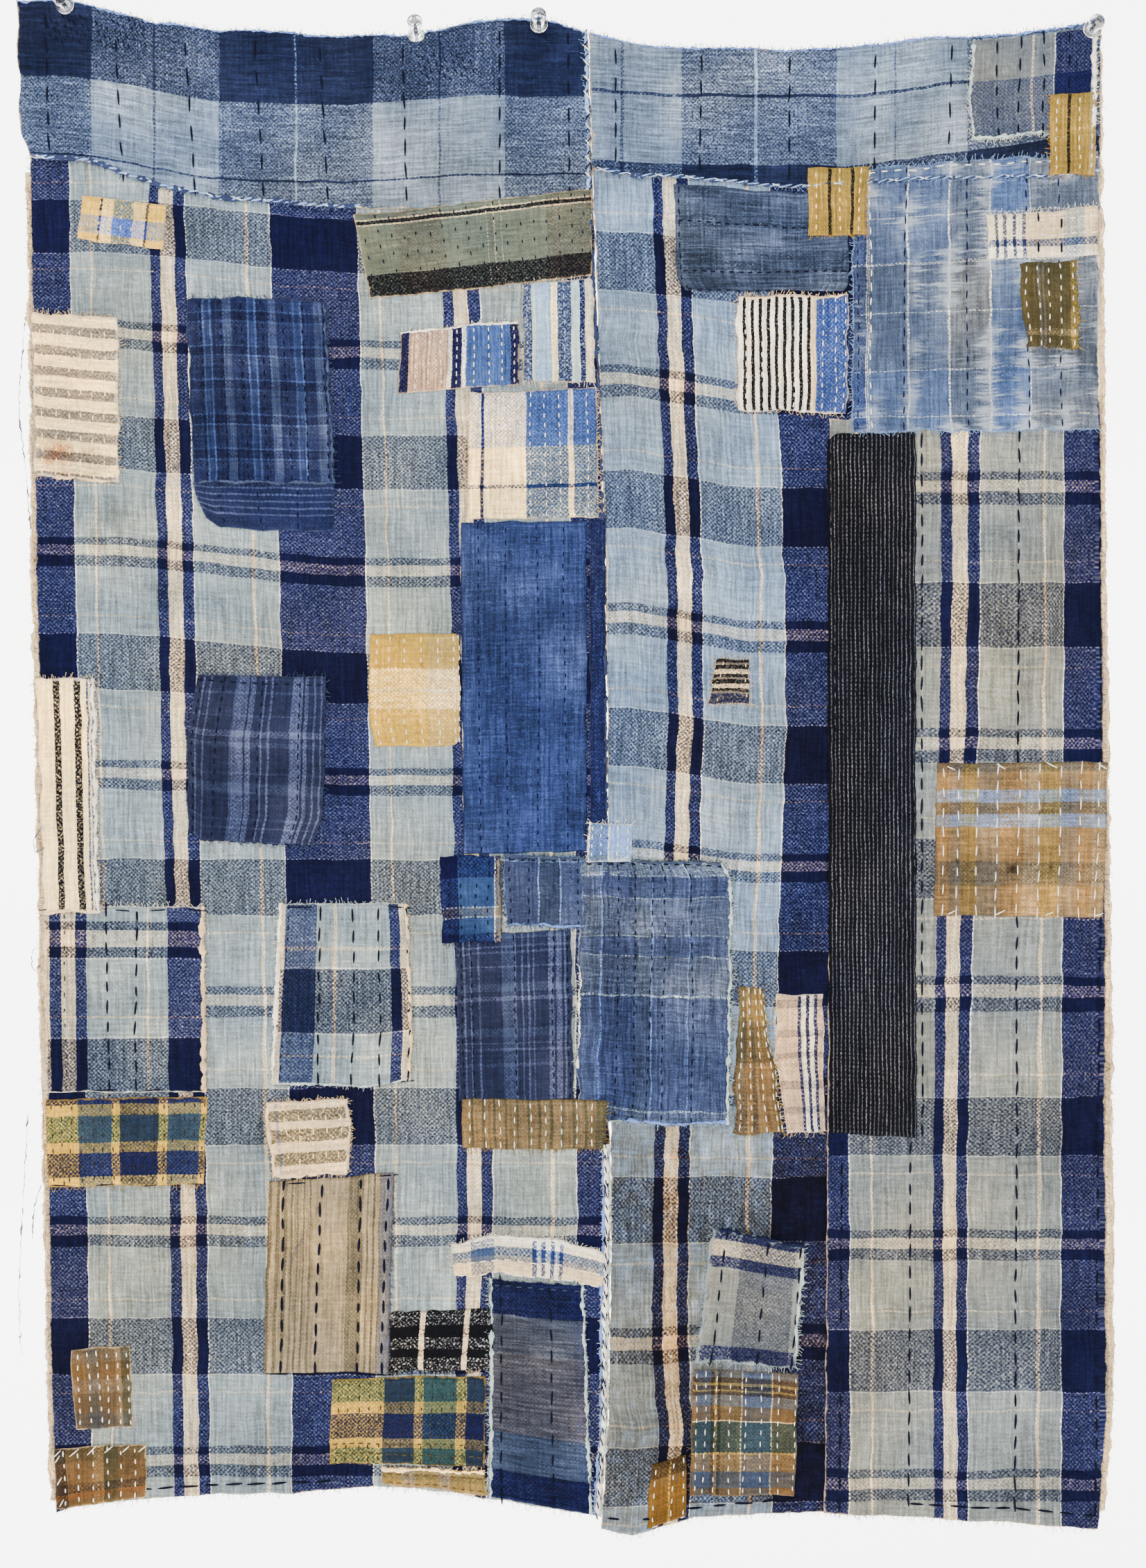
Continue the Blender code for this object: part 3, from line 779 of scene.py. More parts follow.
class ClothPiece:
    """One cut and sewn piece of cloth, as a closed sheet over what lies beneath it."""

    THICKNESS = 1.15
    STEP = 2.4
    RIM = 0.12
    STITCH_PULL = 0.42
    STITCH_REACH = 1.6
    UNEVEN = {Edge.TURNED: 0.6, Edge.FRAYED: 1.2, Edge.CUT: 0.6}
    INSET = 2.0
    OUTWARD = {"top": 90.0, "bottom": -90.0, "left": 180.0, "right": 0.0}

    def __init__(self, name: str, look: Look) -> None:
        """Reads the piece's outline and lays a grid over it.

        Args:
            name: the piece's name, the same as its solid's.
            look: how the piece looks.
        """
        self.name = name
        self.look = look
        self.outline = Outline(name)
        sides = self.outline.sides
        self.width = (run_length(sides["top"]) + run_length(sides["bottom"])) / 2
        self.height = (run_length(sides["left"]) + run_length(sides["right"])) / 2
        self.across = spread(self.width, self.STEP)
        self.down = spread(self.height, self.STEP)
        self.grid = self.lattice()

    def lattice(self) -> Array:
        """Blends the four sides over the whole piece.

        Returns:
            x and z for every crossing of the grid.
        """
        sides = self.outline.sides
        s = self.across[:, None, None]
        t = self.down[None, :, None]
        top = along(sides["top"], self.across)[:, None]
        bottom = along(sides["bottom"], self.across)[:, None]
        left = along(sides["left"], self.down)[None]
        right = along(sides["right"], self.down)[None]
        corners = ((1 - s) * (1 - t) * top[:1] + s * (1 - t) * top[-1:]
                   + (1 - s) * t * bottom[:1] + s * t * bottom[-1:])
        return (1 - t) * top + t * bottom + (1 - s) * left + s * right - corners

    def distances(self) -> tuple[Array, Array, Array]:
        """Places from the left edge and from the top, and the distance to the nearest edge."""
        u, v = np.meshgrid(self.across * self.width, self.down * self.height, indexing="ij")
        edge = np.minimum(np.minimum(u, self.width - u), np.minimum(v, self.height - v))
        return u, v, edge

    def uneven(self, edge: Array) -> None:
        """Moves the rim of the grid in and out a little, as a hand-cut edge goes."""
        reach = self.UNEVEN[self.look.edge]
        seed = sum(map(ord, self.name))
        x, z = self.grid[..., 0], self.grid[..., 1]
        fade = np.exp(-edge / 3.0)
        quick = Ripples(6, seed=seed), Ripples(7, seed=seed + 1)
        slow = Ripples(24, seed=seed + 2), Ripples(24, seed=seed + 3)
        for axis in (0, 1):
            move = quick[axis].height(x, z) * 0.5 + slow[axis].height(x, z)
            self.grid[..., axis] += reach * 0.6 * move * fade

    def profile(self, u: Array, v: Array, edge: Array) -> Array:
        """How high the front stands over what is beneath: a turned hem, then flat cloth."""
        rise = 1 - np.exp(-edge / 0.7)
        high = self.RIM + (self.THICKNESS - self.RIM) * rise
        if self.look.edge is Edge.TURNED:
            high += 0.42 * np.exp(-(((edge - 2.2) / 1.3) ** 2))
        for rows in self.look.stitching:
            for run, off, places in ((v, u, rows.columns), (u, v, rows.rows)):
                pull = 0.6 + 0.4 * np.cos(2 * math.pi * run / rows.pitch)
                for place in places:
                    near = np.exp(-(((off - place) / self.STITCH_REACH) ** 2))
                    high -= self.STITCH_PULL * pull * near * rise
        crumple = Ripples(11, seed=len(self.name) + 40).height(u, v)
        return high + 0.20 * crumple * rise

    def chart(self, u: Array, v: Array) -> Array:
        """The piece's place in its weave, in mm: here, straight from its left and top edges."""
        return np.stack([u, v], -1)

    def base(self, x: Array, z: Array, layers: Layers) -> Array:
        """How high the back of the piece stands over the back of the panels."""
        return layers.under(x, z)

    def pile(self, layers: Layers) -> None:
        """Adds the piece to the map that the next pieces are laid on."""
        layers.lay(self.outline.points, self.THICKNESS + 0.15)

    def build(self, layers: Layers, notions: Notions) -> bpy.types.Object:
        """Makes the piece's mesh, dresses it and adds its stitches.

        Args:
            layers: the map of what lies beneath, which the piece is added to.
            notions: the baskets for the piece's stitches and frays.

        Returns:
            The piece, riding on the part.
        """
        u, v, edge = self.distances()
        self.uneven(edge)
        x, z = self.grid[..., 0], self.grid[..., 1]
        hang = HANGING.depth(x, z) + HANGING.creases(x, z)
        base = self.base(x, z, layers)
        front = hang + base + self.profile(u, v, edge)
        back = hang + base + 0.04
        self.front = np.stack([x, -front, z], -1)
        rear = np.stack([x, -back, z], -1)
        piece = self.shell(rear, self.chart(u, v), edge)
        self.pile(layers)
        piece.data.materials.append(self.look.weave.material(self.name + "_weave"))
        self.sew(notions)
        self.declare(piece)
        return piece

    def shell(self, rear: Array, chart: Array, edge: Array) -> bpy.types.Object:
        """Closes the front and the back grid into one sheet.

        Args:
            rear: the back grid's points.
            chart: the place in the weave at each crossing.
            edge: the distance to the nearest edge at each crossing.

        Returns:
            The sheet as an object.
        """
        columns, rows = edge.shape
        number = np.arange(columns * rows).reshape(columns, rows)
        other = number + columns * rows
        a, b, c, d = number[:-1, :-1], number[1:, :-1], number[1:, 1:], number[:-1, 1:]
        quads = [np.stack([a, d, c, b], -1).reshape(-1, 4),
                 np.stack([a, b, c, d], -1).reshape(-1, 4) + columns * rows]
        rims = ((number[:-1, 0], number[1:, 0], other[1:, 0], other[:-1, 0]),
                (number[1:, -1], number[:-1, -1], other[:-1, -1], other[1:, -1]),
                (number[0, 1:], number[0, :-1], other[0, :-1], other[0, 1:]),
                (number[-1, :-1], number[-1, 1:], other[-1, 1:], other[-1, :-1]))
        quads += [np.stack(rim, -1) for rim in rims]
        points = np.concatenate([self.front.reshape(-1, 3), rear.reshape(-1, 3)]) * MM
        mesh = bpy.data.meshes.new(self.name + "_cloth")
        mesh.from_pydata(points.tolist(), [], np.concatenate(quads).tolist())
        mesh.polygons.foreach_set("use_smooth", np.ones(len(mesh.polygons), bool))
        places = np.empty(len(mesh.loops), np.int32)
        mesh.loops.foreach_get("vertex_index", places)
        flat = np.tile(chart.reshape(-1, 2), (2, 1))
        mesh.uv_layers.new(name="weave").data.foreach_set("uv", flat[places].astype(np.float32).ravel())
        distance = mesh.attributes.new("edge", "FLOAT", "POINT")
        distance.data.foreach_set("value", np.tile(edge.ravel(), 2).astype(np.float32))
        return in_scene(self.name + "_cloth", mesh)

    def on_front(self, u: Array, v: Array, lift: float = 0.1) -> Array:
        """Points on the front of the piece.

        Args:
            u: places from the left edge.
            v: places from the top edge.
            lift: how far in front of the cloth.

        Returns:
            The points.
        """
        i = np.interp(u / self.width, self.across, np.arange(len(self.across)))
        j = np.interp(v / self.height, self.down, np.arange(len(self.down)))
        i0 = np.minimum(i.astype(int), len(self.across) - 2)
        j0 = np.minimum(j.astype(int), len(self.down) - 2)
        p, q = (i - i0)[:, None], (j - j0)[:, None]
        near = (1 - p) * self.front[i0, j0] + p * self.front[i0 + 1, j0]
        far = (1 - p) * self.front[i0, j0 + 1] + p * self.front[i0 + 1, j0 + 1]
        return (1 - q) * near + q * far - np.array([0.0, lift, 0.0])

    def locate(self, x: Array, z: Array) -> tuple[Array, Array]:
        """Places from the left and top edges of points that are given as x and z."""
        u = np.clip(x - self.front[..., 0].min(), 0, self.width)
        v = np.clip(self.front[..., 2].max() - z, 0, self.height)
        for _ in range(12):
            point = self.on_front(u, v)
            u = np.clip(u + x - point[:, 0], 0, self.width)
            v = np.clip(v - z + point[:, 2], 0, self.height)
        return u, v

    def sew(self, notions: Notions) -> None:
        """Adds the piece's stitch rows, rolled edges and frays to the baskets."""
        chance = np.random.default_rng(sum(map(ord, self.name)))
        for rows in self.look.stitching:
            lines = [(True, place) for place in rows.columns] + [(False, place) for place in rows.rows]
            for upright, place in lines:
                reach = self.height if upright else self.width
                first = self.INSET + chance.uniform(0, 0.5) * rows.pitch
                run = np.arange(first, reach - self.INSET, 3.0)
                if len(run) < 3:
                    continue
                sway = place + 0.45 * np.cumsum(chance.normal(0, 0.35, len(run)))
                u, v = (sway, run) if upright else (run, sway)
                notions.stitch(rows.thread, self.on_front(u, v), rows.pitch, rows.length, rows.width,
                               rows.lean)
        for roll in self.look.rolls:
            line = self.side_line(roll.side, roll.start, roll.end)
            notions.roll(roll.thread, line, roll.radius)
            notions.fray(roll.thread, line, 1.6, 2.6, 0.22, self.OUTWARD[roll.side])
        for side in self.look.frays.split():
            line = self.side_line(side, 0.0, 1.0, 0.5)
            notions.fray(self.look.fibre, line, 1.6, 3.2, 0.21, self.OUTWARD[side])

    def side_line(self, side: str, start: float, end: float, inset: float = 0.9) -> Array:
        """A line just inside one side of the piece.

        Args:
            side: top, bottom, left or right.
            start: where it starts, as a share of the side.
            end: where it ends.
            inset: how far inside the edge.

        Returns:
            The line's points.
        """
        upright = side in ("left", "right")
        reach = self.height if upright else self.width
        run = np.linspace(start * reach, end * reach, max(4, int(reach * (end - start) / 3)))
        off = {"left": inset, "top": inset, "right": self.width - inset, "bottom": self.height - inset}[side]
        held = np.full(len(run), off)
        return self.on_front(held, run, 0.0) if upright else self.on_front(run, held, 0.0)

    def declare(self, piece: bpy.types.Object) -> None:
        """Attaches the piece to the part and hides its imported solid."""
        slots = [m.name for m in frame["nodes"][self.name].data.materials if m]
        for slot in frame["record"]["materials"]:
            if slot["slot"] in slots or self.name in slot.get("nodes", []):
                slot["slot"]
        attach(piece, "root")
        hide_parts(self.name)
        size = (max(self.width, 10.0) * MM, max(self.height, 10.0) * MM)
        self.rests_on()

    def rests_on(self) -> list[str]:
        """What the piece is sewn to."""
        middle = float(self.outline.points[:, 0].mean())
        return ["left_panel" if middle < 12 else "middle_panel" if middle < 150 else "right_panel"]


class Panel(ClothPiece):
    """A loom-width panel. Its weave is charted from where each row and stripe is seen."""

    STEP = 3.7

    def __init__(self, name: str, look: Look, back: float, thickness: float,
                 pins: tuple[str, ...]) -> None:
        """Lays out a panel.

        Args:
            name: the panel's name, the same as its solid's.
            look: how it looks.
            back: how far its back stands in front of the back of the panels.
            thickness: how thick it is.
            pins: the pins or panels that hold it.
        """
        self.back = back
        self.THICKNESS = thickness
        self.pins = pins
        super().__init__(name, look)

    def base(self, x: Array, z: Array, layers: Layers) -> Array:
        """A panel hangs straight, at its own distance."""
        return np.full_like(x, self.back)

    def pile(self, layers: Layers) -> None:
        """Patches on the panel start from the panel's front."""
        layers.lay(self.outline.points, self.back + self.THICKNESS + 0.15, whole=True)

    def profile(self, u: Array, v: Array, edge: Array) -> Array:
        """A panel has a thin selvage and no hem at its sides."""
        rise = 1 - np.exp(-edge / 0.6)
        return self.THICKNESS * (0.25 + 0.75 * rise) + 0.12 * Ripples(9, seed=8).height(u, v) * rise

    def seen(self) -> tuple[Array, Array]:
        """Where each crossing of the grid is seen on the hanging plane."""
        x, z = self.grid[..., 0], self.grid[..., 1]
        return VIEW.seen(x, z, HANGING.depth(x, z) + self.back + self.THICKNESS)

    def rests_on(self) -> list[str]:
        """The pins or panels that hold the panel."""
        return list(self.pins)


class LeftPanel(Panel):
    """The left loom width: its rows dip to the right in the upper half."""

    ROW_DOWN = (-25.4, 101.7, 228.8, 357.9, 491.2, 626.9, 762.6, 898.3)
    ROW_CHART = (-267.0, -133.5, 0.0, 133.5, 267.0, 400.5, 534.0, 667.5)

    def chart(self, u: Array, v: Array) -> Array:
        """Stripes run beside the left edge; rows follow their heights down the panel."""
        x, down = self.seen()
        step = np.clip((x + 285) / 165, 0, 1)
        dip = np.interp(down, (0, 360, 430, 500), (12.0, 12.5, 6.0, 0.0))
        dip = dip * step * step * (3 - 2 * step)
        return np.stack([u + 26.6, np.interp(down - dip, self.ROW_DOWN, self.ROW_CHART)], -1)


class MiddlePanel(Panel):
    """The middle loom width, whose stripes lean where the centre fold turns away."""

    ROW_DOWN = (-17.0, 120.5, 261.2, 401.8, 540.4, 679.0, 839.7, 980.0)
    ROW_CHART = (-267.0, -133.5, 0.0, 133.5, 267.0, 400.5, 534.0, 667.5)
    LEAN_DOWN = (148, 270, 326, 419, 486, 649, 713, 758, 810, 833)
    LEAN = (1.4, 0.2, 0.0, 0.8, 3.3, 10.5, 11.7, 12.0, 9.2, 5.5)

    def chart(self, u: Array, v: Array) -> Array:
        """Stripes run beside the seam; rows dip to the right, less so near the hem."""
        x, down = self.seen()
        seam = x[:1] + 0 * x
        step = np.clip((x - 35) / 70, 0, 1)
        dip = np.interp(down, (100, 200, 450, 560, 760), (6.0, 11.0, 11.0, 5.0, -3.0)) * step
        across = x - seam + 60.5 + np.interp(down, self.LEAN_DOWN, self.LEAN)
        return np.stack([across, np.interp(down - dip, self.ROW_DOWN, self.ROW_CHART)], -1)


class RightPanel(Panel):
    """The right panel, lapped over the middle one and woven a little wider."""

    UPPER_X = (150.0, 216.9, 239.9, 279.2, 290.3, 308.0)
    LOWER_X = (149.7, 163.2, 176.3, 212.8, 232.1, 275.1, 289.1, 311.2)
    UPPER_CHART = (48.8, 96.4, 117.3, 152.5, 166.8, 185.0)
    LOWER_CHART = (35.3, 48.8, 60.7, 96.4, 117.3, 152.5, 166.8, 188.9)
    ROW_DOWN = (180.4, 229.6, 270.6, 328.0, 422.9, 569.1, 632.2, 718.5, 769.6, 860.8, 926.6)
    ROW_CHART = (0.0, 45.0, 82.2, 133.5, 215.7, 349.2, 400.5, 482.7, 534.0, 616.2, 680.0)

    def chart(self, u: Array, v: Array) -> Array:
        """Stripes and rows are placed from where they are seen, above and below."""
        x, down = self.seen()
        low = np.clip((down - 350) / 330, 0, 1)
        across = ((1 - low) * np.interp(x, self.UPPER_X, self.UPPER_CHART)
                  + low * np.interp(x, self.LOWER_X, self.LOWER_CHART))
        return np.stack([across, np.interp(down, self.ROW_DOWN, self.ROW_CHART)], -1)


class Band(Panel):
    """A blue band across the top, whose rows hang between the pins in shallow curves."""

    STEP = 3.0
    EDGE_X: tuple[float, ...] = ()
    EDGE_DOWN: tuple[float, ...] = ()
    START_X = 0.0
    START_DOWN = 0.0

    def profile(self, u: Array, v: Array, edge: Array) -> Array:
        """The top of a band is folded over, and a seam is pressed along its lower edge."""
        rise = 1 - np.exp(-edge / 0.7)
        fold = 0.5 * np.exp(-(((v - 3.5) / 3.0) ** 2))
        seam = 0.45 * np.exp(-(((self.height - v - 2) / 1.4) ** 2))
        crumple = 0.2 * Ripples(13, seed=4).height(u, v) * rise
        return 0.15 + (self.THICKNESS - 0.15) * rise + (fold + seam) + crumple

    def chart(self, u: Array, v: Array) -> Array:
        """Stripes are placed from where they are seen; rows follow the band's own sag."""
        x, down = self.seen()
        return np.stack([x - self.START_X, down - np.interp(x, self.EDGE_X, self.EDGE_DOWN)
                         + self.START_DOWN], -1)


class LeftBand(Band):
    """The left band: navy rows above, light rows below."""

    EDGE_X = (-328.0, -299.0, -285.0, -267.0, -247.7, -211.6, -174.7, -133.7, -117.3, -51.7, 9.8)
    EDGE_DOWN = (27.9, 28.7, 29.9, 32.8, 36.9, 43.1, 45.1, 45.1, 44.3, 40.2, 41.0)
    START_X = -332.0
    START_DOWN = 80.0


class RightBand(Band):
    """The right band: light rows above, navy rows below."""

    EDGE_X = (12.3, 65.2, 143.1, 161.5, 220.2, 281.3, 312.0)
    EDGE_DOWN = (77.5, 80.8, 81.2, 82.0, 74.2, 66.4, 64.0)
    START_X = 8.0
    START_DOWN = 120.0


# The two loom widths' plaid, once across and once down, as mm of cloth
PLAID_WARP = ("navy 48.8 white 0.5 haze 10.7 cream 1.6 haze 34.9 navy 5.7 cream 8.6 navy 6.6 white 0.9 "
              "haze 33.2 cream 1.6 haze 12.7 white 0.8")
PLAID_WEFT = ("ink 32.4 white 0.7 haze 9.5 cream 0.9 haze 30.6 ink 4.9 cream 6.2 ink 6.6 haze 30 "
              "cream 0.9 haze 10.1 white 0.7")
LEFT_PLAID = Weave(
    PLAID_WARP, PLAID_WEFT, repeat=True, share=0.68, wobble=0.8, fade=0.14, streak=0.22, flecks=0.08,
    spots=(Spot(D.OLIVE, 72, 60, 15, 0.4), Spot(D.OLIVE, 100, 108, 12, 0.38),
           Spot(D.OLIVE, 94, 8, 14, 0.3), Spot(D.OCHRE, 120, 540, 150, 0.25)))
# The middle plaid's two broad spots darken and warm the whole lower middle panel.
MIDDLE_PLAID = replace(
    LEFT_PLAID, warp=PLAID_WARP.replace("haze", "haze_blue").replace("navy", "navy_deep"),
    weft=PLAID_WEFT.replace("haze", "haze_blue"), fade=0.16, streak=0.24,
    spots=(Spot(D.UMBER, 100, 520, 190, 0.42), Spot(D.GOLD, 100, 500, 240, 0.40)))
RIGHT_PLAID = replace(
    LEFT_PLAID, warp=PLAID_WARP.replace("haze", "haze_green"),
    weft=PLAID_WEFT.replace("haze", "haze_green"), wobble=0.9, streak=0.2, spots=())
LEFT_BAND_WEAVE = Weave(
    "band_navy 46.2 band_light 37 band_navy 1.6 band_light 36.8 band_navy 45.6 pale_blue 1.2 "
    "band_navy 44.7 band_light 39 band_navy 1.4 band_light 37.5 band_navy 20",
    "band_navy 80 band_light 45 band_navy 1.5 band_light 30",
    share=0.35, streak=0.26, grain=0.6, wobble=0.7, fade=0.22, flecks=0.1)
RIGHT_BAND_WEAVE = replace(
    LEFT_BAND_WEAVE,
    warp="band_light 19.8 band_navy 1.6 band_light 34.6 band_navy 43 pale_blue 1.2 band_navy 47.2 "
         "band_light 34 band_navy 1.4 band_light 41.3 band_navy 20",
    weft="band_light 78 band_navy 1.5 band_light 40.5 band_navy 40")
BACKING = Weave("cream 30", "cream 30", streak=0.2, fade=0.25, grain=0.6, worn=D.TAUPE)

# Patches sewn over other patches, and those sewn over these
SECOND = ("olive_wide", "indigo_check", "cream_stripes", "black_fleck", "white_strip", "khaki_strip",
          "blue_brown_line", "denim_square", "pale_tag", "pinstripe", "plaid_corner", "ikat_blue",
          "brown_bands")
THIRD = ("ochre_left", "ochre_right", "olive_small", "white_blue_bars")

